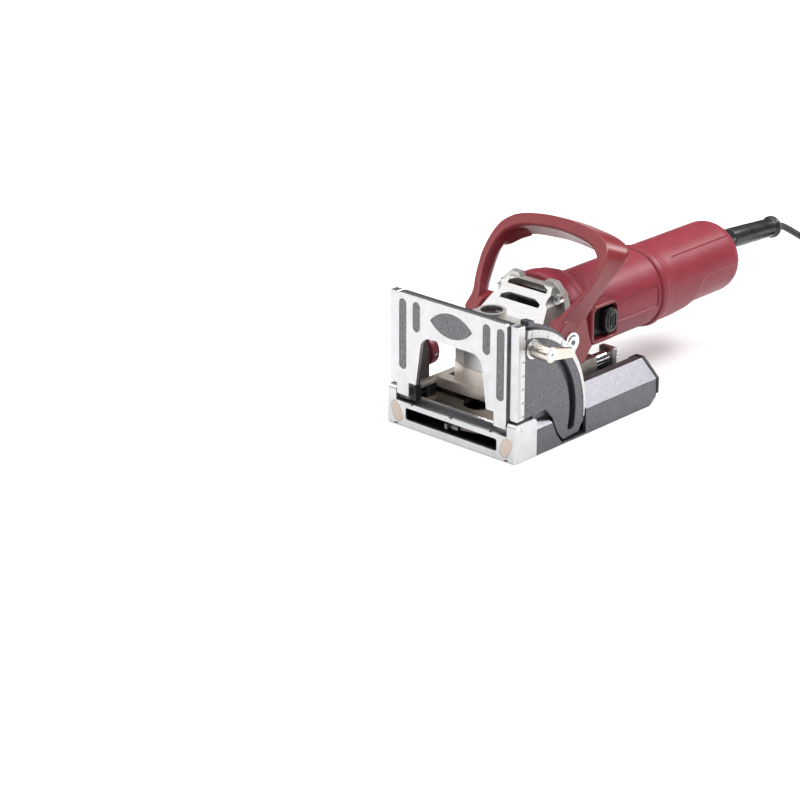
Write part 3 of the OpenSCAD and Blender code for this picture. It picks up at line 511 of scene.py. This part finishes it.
# A row per station from the foot to the middle of the grip: x and distance up the sloping plane of the
# outer front edge, inner front edge and outer back edge, then the depths of the outer and inner back edges.
BOW = [(42, -34, 33, -34, 43.8, -31, 26, 22), (43.5, -20, 37.2, -20, 45.1, -17, 21, 14),
       (47.2, -10, 41.3, -11, 46.9, -8, 19.5, 12.5), (50.2, 0, 44.6, -1.5, 48.2, 1, 18.5, 12),
       (52.4, 10, 46.4, 8, 50.3, 12, 18.5, 11.5), (52.9, 19, 46.6, 16, 52, 22, 19, 11),
       (52.1, 28, 45.6, 23, 53.8, 32, 20, 12), (49.9, 35, 43.4, 28.6, 55, 39.5, 20.5, 13.5),
       (46.5, 39.4, 40.3, 32, 54.6, 45.4, 21, 15), (41, 43.9, 36, 35.3, 50.6, 50, 21, 16.5),
       (34.7, 46.5, 29.5, 38, 43, 53.6, 21, 18), (26, 48.6, 21.5, 39.8, 32, 56, 21, 19),
       (13, 50.4, 11, 41.1, 15, 58, 21, 20.3), (0, 50.9, 0, 41.6, 0, 58.8, 21, 20.5)]
BOW_ANGLE = math.atan(0.9)
BOW_ORIGIN = Vector((0, 85, 100))
BOW_UP = Vector((0, math.sin(BOW_ANGLE), math.cos(BOW_ANGLE)))
BOW_IN = Vector((0, math.cos(BOW_ANGLE), -math.sin(BOW_ANGLE)))
FOOT = [(70, 82), (63.5, 76), (64, 60), (78, 46), (94, 45), (101.5, 56), (97, 70), (95, 78), (86, 82)]
FOOT_X = (32.5, 44.4)


def bow_at(x, s, d):
    """Point on the sloping plane of the bow, set back from its front face by d."""
    return BOW_ORIGIN + Vector((x, 0, 0)) + BOW_UP * s + BOW_IN * d


def rounded(corners, radii, steps=6):
    """Closed outline through 3-D corners, each with a curved corner of its own radius."""
    points = []
    n = len(corners)
    for i, (corner, r) in enumerate(zip(corners, radii)):
        before = corner + (corners[i - 1] - corner).normalized() * r
        after = corner + (corners[(i + 1) % n] - corner).normalized() * r
        points.append(before + (before - corner) * 0.25)
        for k in range(steps + 1):
            u = k / steps
            points.append(before * (1 - u) ** 2 + corner * 2 * u * (1 - u) + after * u ** 2)
        points.append(after + (after - corner) * 0.25)
    return points


def make_bow():
    rows = BOW + [(-a, b, -c, d, -e, f, g, h) for a, b, c, d, e, f, g, h in BOW[-2::-1]]
    steps = 200
    rings = []
    for i in range(steps + 1):
        t = i / steps
        outer = follow([(r[0], r[1], 0) for r in rows], t)
        inner = follow([(r[2], r[3], r[7]) for r in rows], t)
        back = follow([(r[4], r[5], r[6]) for r in rows], t)
        corners = [bow_at(inner.x, inner.y, 0), bow_at(outer.x, outer.y, 0),
                   bow_at(back.x, back.y, back.z), bow_at(inner.x, inner.y, inner.z)]
        rings.append(rounded(corners, (2.4, 0.7, 4.5, 4.0)))
    return rings_mesh("bow", rings)


def make_foot(side):
    """Foot plate, rounded all round, under the lower end of the bow."""
    x0, x1 = (side * v for v in FOOT_X)
    lower = [(x0, y, z) for y, z in FOOT]
    upper = [(x1, y, z) for y, z in FOOT]
    n = len(FOOT)
    faces = [tuple(range(n)), tuple(range(2 * n - 1, n - 1, -1))]
    faces += [(i, (i + 1) % n, n + (i + 1) % n, n + i) for i in range(n)]
    plate = mesh_object("foot", lower + upper, faces, smooth=False)
    bevel(plate, 1.8, 4, 20)
    apply_modifiers(plate)
    return plate


def make_guard():
    """Small finger rest inside the upper left corner of the bow."""
    outline = [(-49, 24), (-44.2, 26.6), (-41.6, 29.4), (-37.2, 33.2), (-30, 37.6), (-30, 41), (-44, 40),
               (-51, 32)]
    rings = []
    for d, inset in ((6.0, 0.86), (7.0, 0.96), (8.5, 1.0), (14.5, 1.0), (16.0, 0.95), (16.8, 0.85)):
        rings.append([bow_at(-42 + (x + 42) * inset, 32 + (s - 32) * inset, d) for x, s in outline])
    return rings_mesh("guard", rings)


def make_handle():
    bow = make_bow()
    sharpen(bow, 60)
    guard = make_guard()
    sharpen(guard, 30)
    made = join("handle_moulding", [bow, make_foot(1), make_foot(-1), guard])
    return dress(made, "red_handle", "machine", "red_plastic", "handle")


# ---------------------------------------------------------------- motor casings

AXIS_Z = 64.0
# Front casing: (y, radius) stops of its bell, the half-width and depth of the bell's flats, then the barrel
BELL = [(92.2, 37.4), (94.0, 38.8), (102, 38.9), (110, 37.6), (117, 35.2), (121.5, 31.4), (126, 30.0),
        (134, 29.5)]
BELL_SIDE, BELL_UNDER, BELL_ROUND = 32.2, 25.3, 3.0
BARREL_Y = (133.5, 136.5)
CASING_Y = (92.2, 200.9)
SEAM_Y = 127.5
PANEL_Y, PANEL_Z, PANEL_DEPTH = (144.5, 197.5), (57.0, 73.5), 0.8
POCKET_Y, POCKET_Z, POCKET_X = (114.5, 140.5), (53.0, 77.0), 26.9


def window(low, high, edge, v):
    """One inside low..high, falling to zero over edge at both ends."""
    return smoothstep(low, low + edge, v) * (1 - smoothstep(high - edge, high, v))


def casing_rings(stations, angles, radius):
    """Rings about the motor axis: radius(y, x direction, z direction) in mm."""
    rings = []
    for y, scale in stations:
        ring = []
        for a in angles:
            c, s = math.cos(a), math.sin(a)
            r = radius(y, c, s) * scale
            ring.append((r * c, y, AXIS_Z + r * s))
        rings.append(ring)
    return rings


def front_radius(y, c, s):
    r = profile_at(BELL, y)
    if y < BARREL_Y[1]:
        side = BELL_SIDE / max(abs(c), 1e-3)
        under = BELL_UNDER / max(-s, 1e-3)
        flat = smooth_min(smooth_min(r, side, BELL_ROUND), under, BELL_ROUND)
        r = flat + (r - flat) * smoothstep(*BARREL_Y, y)
    z = AXIS_Z + r * s
    if c > 0:
        r -= PANEL_DEPTH * (window(*PANEL_Y, 0.5, y) * window(*PANEL_Z, 0.5, z))
        if POCKET_Y[0] - 1 < y < POCKET_Y[1] + 1 and POCKET_Z[0] - 1 < z < POCKET_Z[1] + 1:
            r = min(r, POCKET_X / c)
    seam = (1 - smoothstep(0.0, 0.5, abs(y - SEAM_Y))) * smoothstep(-0.2, 0.1, s)
    return r - 0.5 * seam


def make_motor_housing():
    edges = (*PANEL_Y, *POCKET_Y, SEAM_Y, sum(BARREL_Y) / 2)
    ys = fine_steps(*CASING_Y, 1.1, edges)
    angle_edges = [math.degrees(math.asin((z - AXIS_Z) / BELL[-1][1])) for z in PANEL_Z]
    degrees = fine_steps(-90, 270, 1.6, angle_edges, near=2.4, fine=0.4)[:-1]
    angles = [math.radians(d) for d in degrees]
    stations = [(CASING_Y[0], 0.75)] + [(y, 1.0) for y in ys] + [(CASING_Y[1], 0.9)]
    shell = rings_mesh("motor_shell", casing_rings(stations, angles, front_radius))
    sharpen(shell, 40)
    bezel = make_bezel()
    shell.data.materials.append(looks["red_plastic"])
    shell.data.materials.append(looks["carbon"])
    for face in shell.data.polygons:
        if face.center.y < CASING_Y[0] * MM:
            face.material_index = 1
    bezel.data.materials.append(looks["red_handle"])
    made = join("motor_casing", [shell, bezel])
    return dress(made, "red_plastic", "machine", "red_plastic", "motor_housing")


def make_bezel():
    """Raised frame round the switch."""
    outer = round_rect((111.6, 50.2), (142, 79.4), 6, 8)
    top_out = round_rect((112.4, 51.0), (141.2, 78.6), 5.4, 8)
    top_in = round_rect((114.0, 52.4), (140.9, 77.4), 4.2, 8)
    inner = round_rect((114.5, 53), (140.5, 77), 4, 8)
    levels = [(24.0, outer), (34.6, outer), (35.4, top_out), (35.4, top_in), (34.4, inner), (27.0, inner),
              (24.0, inner)]
    return rings_mesh("bezel", [[(x, y, z) for y, z in line] for x, line in levels], loop=True)


# Rear casing: (y, radius) stops of its collar and grip, and the angle of its two grooves
GROOVE = 49
REAR = [(201.2, 30.2), (202.4, 31.0), (206.6, 31.1), (209.4, 30.1), (216, 29.6), (250, 29.4), (291, 29.3)]
GRIP_END = 305.0
END_ROUND = 14.0


def rear_radius(y, c, s):
    r = profile_at(REAR, y)
    side = math.degrees(math.asin(max(-1.0, min(1.0, s))))
    edge = -95 + 99 * smoothstep(233, 256, y)
    lower = smoothstep(-2.0, 2.0, edge - side)
    r -= (0.55 + 2.0 * smoothstep(0, 70, -side)) * lower
    bulge = smoothstep(-35, -75, side) * smoothstep(204, 209, y) * (1 - smoothstep(228, 246, y))
    r += 1.2 * bulge
    groove = (1 - smoothstep(0.0, 1.3, abs(side - GROOVE))) * smoothstep(222, 228, y)
    r -= 0.55 * groove
    return r


def make_rear_housing():
    ys = fine_steps(REAR[0][0], GRIP_END - END_ROUND, 1.3, (202.4, 206.8, 209.3, 224), near=1.5, fine=0.3)
    stations = [(REAR[0][0], 0.9)] + [(y, 1.0) for y in ys]
    for i in range(1, 15):
        t = math.pi / 2 * i / 14
        scale = 1 - END_ROUND * (1 - math.cos(t)) / REAR[-1][1]
        stations.append((GRIP_END - END_ROUND + END_ROUND * math.sin(t), scale))
    stations += [(GRIP_END, scale * f) for f in (0.8, 0.5, 0.2, 0.02)]
    degrees = fine_steps(-90, 270, 1.8, (GROOVE, 180 - GROOVE, 4, 176), near=3.0, fine=0.5)[:-1]
    rings = casing_rings(stations, [math.radians(d) for d in degrees], rear_radius)
    made = rings_mesh("grip_casing", rings)
    return dress(made, "red_plastic", "machine", "red_plastic", "rear_housing")


# ---------------------------------------------------------------- cord, strain relief and plug

CORD_D = 5.6
RELIEF_START = Vector((0, 297, 74))
RELIEF_AXIS = Vector((0, math.cos(math.radians(4)), -math.sin(math.radians(4))))
GLAND_L, RELIEF_L = 24, 59
CORD_EXIT = RELIEF_START + (GLAND_L + RELIEF_L) * RELIEF_AXIS
ROUTE = [CORD_EXIT, (0, 386, 67.4), (0, 392, 65.6), (0, 400, 61.6), (0, 410, 55.8), (0, 420, 49.8),
         (0, 430, 43.8), (0, 440, 38.2), (0, 450, 33), (0, 460, 28.4), (0, 470, 24.4), (0, 480, 21.4)]
TAIL = [(-5.6, 488, 3.2), (-5.6, 497, 6.4), (-5.6, 506, 11.2), (-5.6, 514, 15), (-5.6, 522, 16.8),
        (-5.6, 527, 17)]
COIL_C = Vector((33.8, 480, 0))
COIL_R = 31
COIL_ROWS = (22.6, 28.2, 33.8, 39.4)
COIL_LAYERS = (2.8, 8.4, 14.0, 19.6)
PLUG_C = Vector((-5.6, 547, 17))


def coil_cells():
    """(radius, height, angle in degrees at which the cord moves on to it) of each turn, top layer first.
    Each layer shifts sideways at its own angle and drops at another, so no two turns meet."""
    shift = {3: 290, 2: 200, 1: 110, 0: 20}
    drop = {2: 245, 1: 155, 0: 65}
    order = {3: COIL_ROWS[2::-1], 2: COIL_ROWS, 1: COIL_ROWS[::-1], 0: COIL_ROWS}
    cells = []
    for layer in (3, 2, 1, 0):
        for i, row in enumerate(order[layer]):
            at = shift[layer] if i else drop.get(layer, 0)
            cells.append((row, COIL_LAYERS[layer], at))
    return cells


def coil_points():
    """Cord centre through the turns, in mm. Turns run clockwise from the side where the cord comes in."""
    cells = coil_cells()
    moves = []
    angle = 0.0
    for row, height, at in cells[1:]:
        step = (at - angle) % 360
        angle += step if step > 40 else step + 360
        moves.append((angle, row, height))
    end = math.ceil((moves[-1][0] + 60) / 360) * 360
    points = []
    zone = 38.0
    count = int(end / 9)
    for k in range(1, count + 1):
        phi = end * k / count
        row, height = cells[0][0], cells[0][1] + 1.8 * (1 - smoothstep(0, 60, phi))
        for start, new_row, new_height in moves:
            f = smoothstep(start, start + zone, phi)
            if phi > start:
                row += (new_row - row) * f
                height += (new_height - height) * f
        theta = math.pi - math.radians(phi)
        points.append((COIL_C.x + row * math.cos(theta), COIL_C.y + row * math.sin(theta), height))
    return points


def make_cord():
    smooth_route = [follow(ROUTE, i / 40) for i in range(40)] + [Vector(ROUTE[-1])]
    smooth_tail = [follow(TAIL, i / 14) for i in range(15)]
    points = [Vector(p) for p in smooth_route + coil_points() + smooth_tail]
    length = sum((b - a).length for a, b in zip(points, points[1:])) * MM
    curve = bpy.data.curves.new("mains_cord", "CURVE")
    curve.dimensions = "3D"
    curve.bevel_depth = CORD_D / 2 * MM
    curve.bevel_resolution = 4
    spline = curve.splines.new("POLY")
    spline.points.add(len(points) - 1)
    for point, place in zip(spline.points, points):
        point.co = (*(place * MM), 1.0)
    cord = add_object("mains_cord", curve)
    dress(cord, "cord", "machine", "rubber", "cord", "cord_coil")
    return cord, length


def make_relief():
    turn = along(RELIEF_AXIS)
    gland = [(5.0, -8), (8.1, -8), (8.1, 23.3), (7.9, 23.8), (7.5, 24), (5, 24)]
    sleeve = [(4, 24), (7.6, 24), (7.95, 24.3), (8.05, 25), (7.9, 45), (7.6, 65), (7.4, 76.5), (7.5, 77.8),
              (8.3, 78.6), (8.8, 79.6), (8.8, 81.6), (8.4, 82.6), (7.2, 83), (3.4, 83), (3.0, 82)]
    pieces = (("gland_sleeve", gland, "cord_gland"), ("relief_sleeve", sleeve, "strain_relief"))
    for name, profile, node in pieces:
        made = lathe(name, profile, RELIEF_START, turn)
        sharpen(made, 50)
        dress(made, "rubber", "machine", "rubber", node)


def make_plug():
    turn = along((0, 1, 0))
    body = [(2.9, -20), (6.0, -20), (7.2, -19), (8.0, -14), (10.5, -10), (15.5, -5), (16.6, -3.5), (16.8, -1),
            (16.8, 1.5), (16.2, 2.2), (16.2, 3.4), (16.8, 4.1), (16.8, 14.6), (16.2, 15.6), (15, 15.8),
            (0.2, 15.8)]
    parts = [lathe("plug_body", body, PLUG_C, turn)]
    sharpen(parts[0], 40)
    parts[0].data.materials.append(looks["rubber"])
    for s in (-9.5, 9.5):
        sleeve = lathe("pin_sleeve", [(0.2, 15.6), (2.4, 15.7), (2.4, 25), (2.2, 25.2)],
                       PLUG_C + Vector((s, 0, 0)), turn, 24)
        sleeve.data.materials.append(looks["rubber"])
        pin = lathe("pin", [(2.1, 25), (2.4, 25.2), (2.4, 33.2), (1.9, 34.4), (0.2, 34.8)],
                    PLUG_C + Vector((s, 0, 0)), turn, 24)
        pin.data.materials.append(looks["zinc"])
        parts += [sleeve, pin]
    return dress(join("mains_plug", parts), "rubber", "machine", "rubber", "plug")


def make_tie():
    """Band round the coil's section that keeps the turns together."""
    out = round_rect((-13.2, -0.0), (13.2, 24.4), 4, 5)
    inn = round_rect((-11.9, 0.6), (11.9, 23.2), 3, 5)
    spot = math.radians(62)
    radial = Vector((math.cos(spot), math.sin(spot), 0))
    tangent = Vector((-math.sin(spot), math.cos(spot), 0))
    rings = []
    for side, line in ((-5, out), (5, out), (5, inn), (-5, inn)):
        place = COIL_C + tangent * side
        rings.append([place + radial * (COIL_R + u) + Vector((0, 0, max(0.05, h))) for u, h in line])
    made = rings_mesh("cord_tie", rings, loop=True)
    sharpen(made, 40)
    return dress(made, "rubber", "machine", "rubber")


# ---------------------------------------------------------------- springs, scales and numbers

SPRING_Y = (65.2, 105.8)
SPRING_X, SPRING_Z = 23, 31


def make_springs():
    turns, per, wire, radius = 11, 28, 0.65, 6.15
    parts = []
    for side in (-1, 1):
        middle = Vector((side * SPRING_X, sum(SPRING_Y) / 2, SPRING_Z))
        points = []
        for k in range(turns * per + 1):
            t = k / (turns * per)
            dead = 0.6 * (t - 0.5) + 0.4 * (smoothstep(0, 1, t) - 0.5)
            a = 2 * math.pi * turns * t
            along_rod = dead * (SPRING_Y[1] - SPRING_Y[0] - 2 * wire)
            points.append(middle + Vector((radius * math.cos(a), along_rod, radius * math.sin(a))))
        rings = []
        for k, p in enumerate(points):
            tangent = (points[min(k + 1, len(points) - 1)] - points[max(k - 1, 0)]).normalized()
            u = tangent.cross(Vector((0, 1, 0))).normalized()
            v = tangent.cross(u)
            rings.append([p + wire * (math.cos(b) * u + math.sin(b) * v)
                          for b in (2 * math.pi * j / 8 for j in range(8))])
        parts.append(rings_mesh("spring", rings))
    made = join("rod_springs", parts)
    made.data.materials.append(looks["spring"])
    dress(made, "spring", "base", "spring", "return_springs")
    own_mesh(made)
    return made


def box_verts(centre, u, v, w):
    """Corners of a box about centre with half-size vectors u, v and w, and its faces."""
    verts = [centre + i * u + j * v + k * w for i in (-1, 1) for j in (-1, 1) for k in (-1, 1)]
    faces = [(0, 1, 3, 2), (4, 6, 7, 5), (0, 4, 5, 1), (2, 3, 7, 6), (0, 2, 6, 4), (1, 5, 7, 3)]
    return verts, faces


def marks(name, boxes):
    verts, faces = [], []
    for centre, u, v, w in boxes:
        more, quads = box_verts(centre, u, v, w)
        faces += [tuple(len(verts) + i for i in q) for q in quads]
        verts += more
    return mesh_object(name, verts, faces, smooth=False)


def number(text, height, depth=0.06):
    """Flat mesh of a number in its own XY plane, in mm, centred."""
    curve = bpy.data.curves.new("number", "FONT")
    curve.body = text
    curve.size = height
    curve.align_x, curve.align_y = "CENTER", "CENTER"
    curve.extrude = depth
    curve.resolution_u = 3
    made = add_object("number", curve)
    bpy.context.view_layer.update()
    mesh = bpy.data.meshes.new_from_object(made.evaluated_get(bpy.context.evaluated_depsgraph_get()))
    bpy.data.objects.remove(made)
    return mesh


def put_number(text, height, centre, right, up):
    """Number lying on a plane, read along right with its top towards up (mm)."""
    mesh = number(text, height)
    right, up = Vector(right).normalized(), Vector(up).normalized()
    out = right.cross(up)
    turn = Matrix((right, up, out)).transposed().to_4x4()
    mesh.transform(Matrix.Scale(MM, 4) @ Matrix.Translation(Vector(centre)) @ turn)
    return add_object("number", mesh)


PIVOT = Vector((0, 5, 24.2))


def make_angle_scale():
    """Marks each 5 degrees and numbers each 15 on the quadrant's rim."""
    boxes = []
    parts = []
    x = 59.42
    for step in range(18):
        a = math.radians(80 - 5 * step)
        out = Vector((0, math.cos(a), math.sin(a)))
        side = Vector((0, -math.sin(a), math.cos(a)))
        long = step % 3 == 0
        length = 2.2 if long else 1.3
        centre = PIVOT + out * (71.0 - length / 2) + Vector((x, 0, 0))
        boxes.append((centre, Vector((0.03, 0, 0)), out * length / 2, side * 0.13))
        if long and step < 10:
            parts.append(put_number(str(5 * step), 1.9, PIVOT + out * 67.6 + Vector((x, 0, 0)), -side, out))
    return dress(join("angle_marks", [marks("ticks", boxes)] + parts), "ink", "fence", "scale")


def make_height_scale():
    boxes = []
    parts = []
    for k in range(27):
        z = 34 + 2 * k
        long = k % 5 == 0
        length = 2.4 if long else 1.4
        boxes.append((Vector((60.33, 3.6 + length / 2, z)), Vector((0.03, 0, 0)), Vector((0, length / 2, 0)),
                      Vector((0, 0, 0.12))))
        if long:
            parts.append(put_number(str(10 * (k // 5) + 10), 1.9, (60.33, 7.3, z), (0, 1, 0), (0, 0, 1)))
    return dress(join("height_marks", [marks("ticks", boxes)] + parts), "ink", "fence", "scale")


def make_turret_numbers():
    """Numbers wrapped round the depth turret's drum."""
    centre = Vector((-58, 0, 45))
    parts = []
    for i, text in enumerate(("0", "5", "10", "15", "20", "25")):
        mesh = number(text, 5.2, 0.05)
        base = math.radians(60 * i + 35)
        for v in mesh.vertices:
            a = base - v.co.x / 11.5
            r = 11.53 + v.co.z
            v.co = (centre.x + r * math.sin(a), 36.9 - v.co.y, centre.z + r * math.cos(a))
        mesh.transform(Matrix.Scale(MM, 4))
        parts.append(add_object("number", mesh))
    return dress(join("turret_numbers", parts), "white_ink", "turret", "red_plastic")


# ---------------------------------------------------------------- small turned and moulded pieces

def make_button():
    """Dished push button with a fine ring, on its pin."""
    profile = [(0.2, 64.6), (1.8, 64.7), (1.8, 83.9), (7.2, 84.0), (7.9, 84.5), (8.0, 85.5), (8.0, 87.6),
               (7.7, 88.4), (7.1, 88.8), (6.3, 88.7), (5.9, 88.2), (5.4, 88.2), (5.0, 88.55), (3, 88.35),
               (0.2, 88.25)]
    made = lathe("lock_button", profile, (0, 43, 0))
    sharpen(made, 40)
    boxes = []
    for i in range(3):
        a = math.radians(90 + 120 * i)
        out = Vector((math.cos(a), math.sin(a), 0))
        side = Vector((-out.y, out.x, 0))
        boxes.append((Vector((0, 43, 88.45)) + out * 2.4, out * 1.3, side * 0.35, Vector((0, 0, 0.16))))
    made.data.materials.append(looks["glossy_black"])
    bars = marks("bars", boxes)
    bars.data.materials.append(looks["glossy_black"])
    return dress(join("lock_button_cap", [made, bars]), "black_plastic", "button", "black_plastic",
                 "spindle_lock_button")


def make_slider():
    """Switch slider: a rounded black cap with an oval rim and two ribs, on its stem."""
    levels = []
    crown = ((33.7, 0, 6.4), (36.0, 0, 6.4), (36.5, 0.25, 6.2), (36.8, 0.8, 5.8), (36.9, 2.4, 4.4))
    for x, inset, r in crown:
        line = round_rect((125.6 + inset, 55.6 + inset), (139.4 - inset, 74.6 - inset), r, 7)
        levels.append([(x, y, z) for y, z in line])
    cap = rings_mesh("slider_cap", levels)
    sharpen(cap, 40)
    rim_out = round_rect((128.0, 58.2), (137.4, 72.0), 4.4, 7)
    rim_in = round_rect((128.8, 59.0), (136.6, 71.2), 3.7, 7)
    rim = [(36.7, rim_out), (37.5, rim_out), (37.5, rim_in), (36.7, rim_in)]
    ring = rings_mesh("slider_rim", [[(x, y, z) for y, z in line] for x, line in rim], loop=True)
    sharpen(ring, 40)
    boxes = [(Vector((31.8, 132, 65)), Vector((2.0, 0, 0)), Vector((0, 4.5, 0)), Vector((0, 0, 8.5)))]
    for y in (131.4, 134.0):
        boxes.append((Vector((37.1, y, 65.1)), Vector((0.4, 0, 0)), Vector((0, 0.5, 0)), Vector((0, 0, 3.8))))
    made = join("slider_moulding", [cap, ring, marks("ribs", boxes)])
    return dress(made, "glossy_black", "switch", "black_plastic", "switch_slider")


def make_pads():
    """Anti-slip pads with softly crowned faces."""
    parts = []
    lean = math.radians(24)
    for side in (-1, 1):
        levels = [(1.45, 1.0), (0.2, 1.0), (-0.05, 0.97), (-0.18, 0.9), (-0.2, 0.6), (-0.2, 0.05)]
        rings = []
        for y, scale in levels:
            ring = []
            for k in range(48):
                a = 2 * math.pi * k / 48
                stretch = 3.3 if math.sin(a) >= 0 else -3.3
                u, v = 4.45 * scale * math.cos(a), 4.45 * scale * math.sin(a) + stretch * scale
                x = u * math.cos(lean) + v * math.sin(lean)
                z = -u * math.sin(lean) + v * math.cos(lean)
                ring.append((side * (51.5 + x), y, 10.2 + z))
            rings.append(ring)
        parts.append(rings_mesh("pad", rings))
    return dress(join("grip_pad_faces", parts), "pad", "base", "pad", "grip_pads")


# ---------------------------------------------------------------- CAD nodes that stay

# Edge widths in mm
BEVELS = {
    "front_plate": 0.35, "fence_plate": 0.4, "fence_rails": 0.3, "fence_carrier": 0.6, "base_housing": 0.5,
    "dust_ducts": 0.5, "clamp_bracket": 0.5, "quadrant": 0.5, "turret_bracket": 0.5, "carriage": 0.4,
    "spindle_guard": 0.5, "gear_housing": 0.7, "deck_plate": 0.2, "side_rails": 0.3, "rod_brackets": 0.5,
    "sight_strip": 0.1, "clamp_lever": 0.4, "clamp_washer": 0.15, "handle_screws": 0.2,
    "gear_housing_screws": 0.2, "clamp_lever_screw": 0.15, "depth_turret": 0.3, "stop_block": 0.3,
    "rear_caps": 0.4, "depth_stop_rod": 0.3, "fence_screws": 0.2, "sole_plate": 0.2, "guide_rods": 0.2,
    "cutter": 0.12, "fence_badge": 0.1, "fence_inserts": 0.1, "clamp_stud": 0.2, "turret_shaft": 0.2,
}
SPECIAL = {
    "fence_inserts": "insert", "fence_badge": "insert", "sight_strip": "serrated", "deck_plate": "deck",
    "clamp_lever": "lever_nickel", "depth_turret": "turret_red", "rod_brackets": "steel",
}


def finish_cad_nodes():
    slots = {part["node"]: part["material_slot"] for part in frame["record"]["subparts"]}
    for name, obj in nodes.items():
        obj.data.materials.clear()
        obj.data.materials.append(looks[SPECIAL.get(name, slots[name])])
        if name in BEVELS:
            weld = obj.modifiers.new("weld", "WELD")
            weld.merge_threshold = 2e-6
            flat = obj.modifiers.new("flat", "DECIMATE")
            flat.decimate_type = "DISSOLVE"
            flat.angle_limit = math.radians(0.6)
            bevel(obj, BEVELS[name])
            weighted = obj.modifiers.new("normals", "WEIGHTED_NORMAL")
            weighted.keep_sharp = True


# ---------------------------------------------------------------- all together

make_camera()
looks = make_materials()
make_studio()
cord, cord_length = make_cord()
plug = make_plug()
tie = make_tie()
make_relief()
make_handle()
make_motor_housing()
make_rear_housing()
make_springs()
make_angle_scale()
make_height_scale()
make_turret_numbers()
make_button()
make_slider()
make_pads()
finish_cad_nodes()
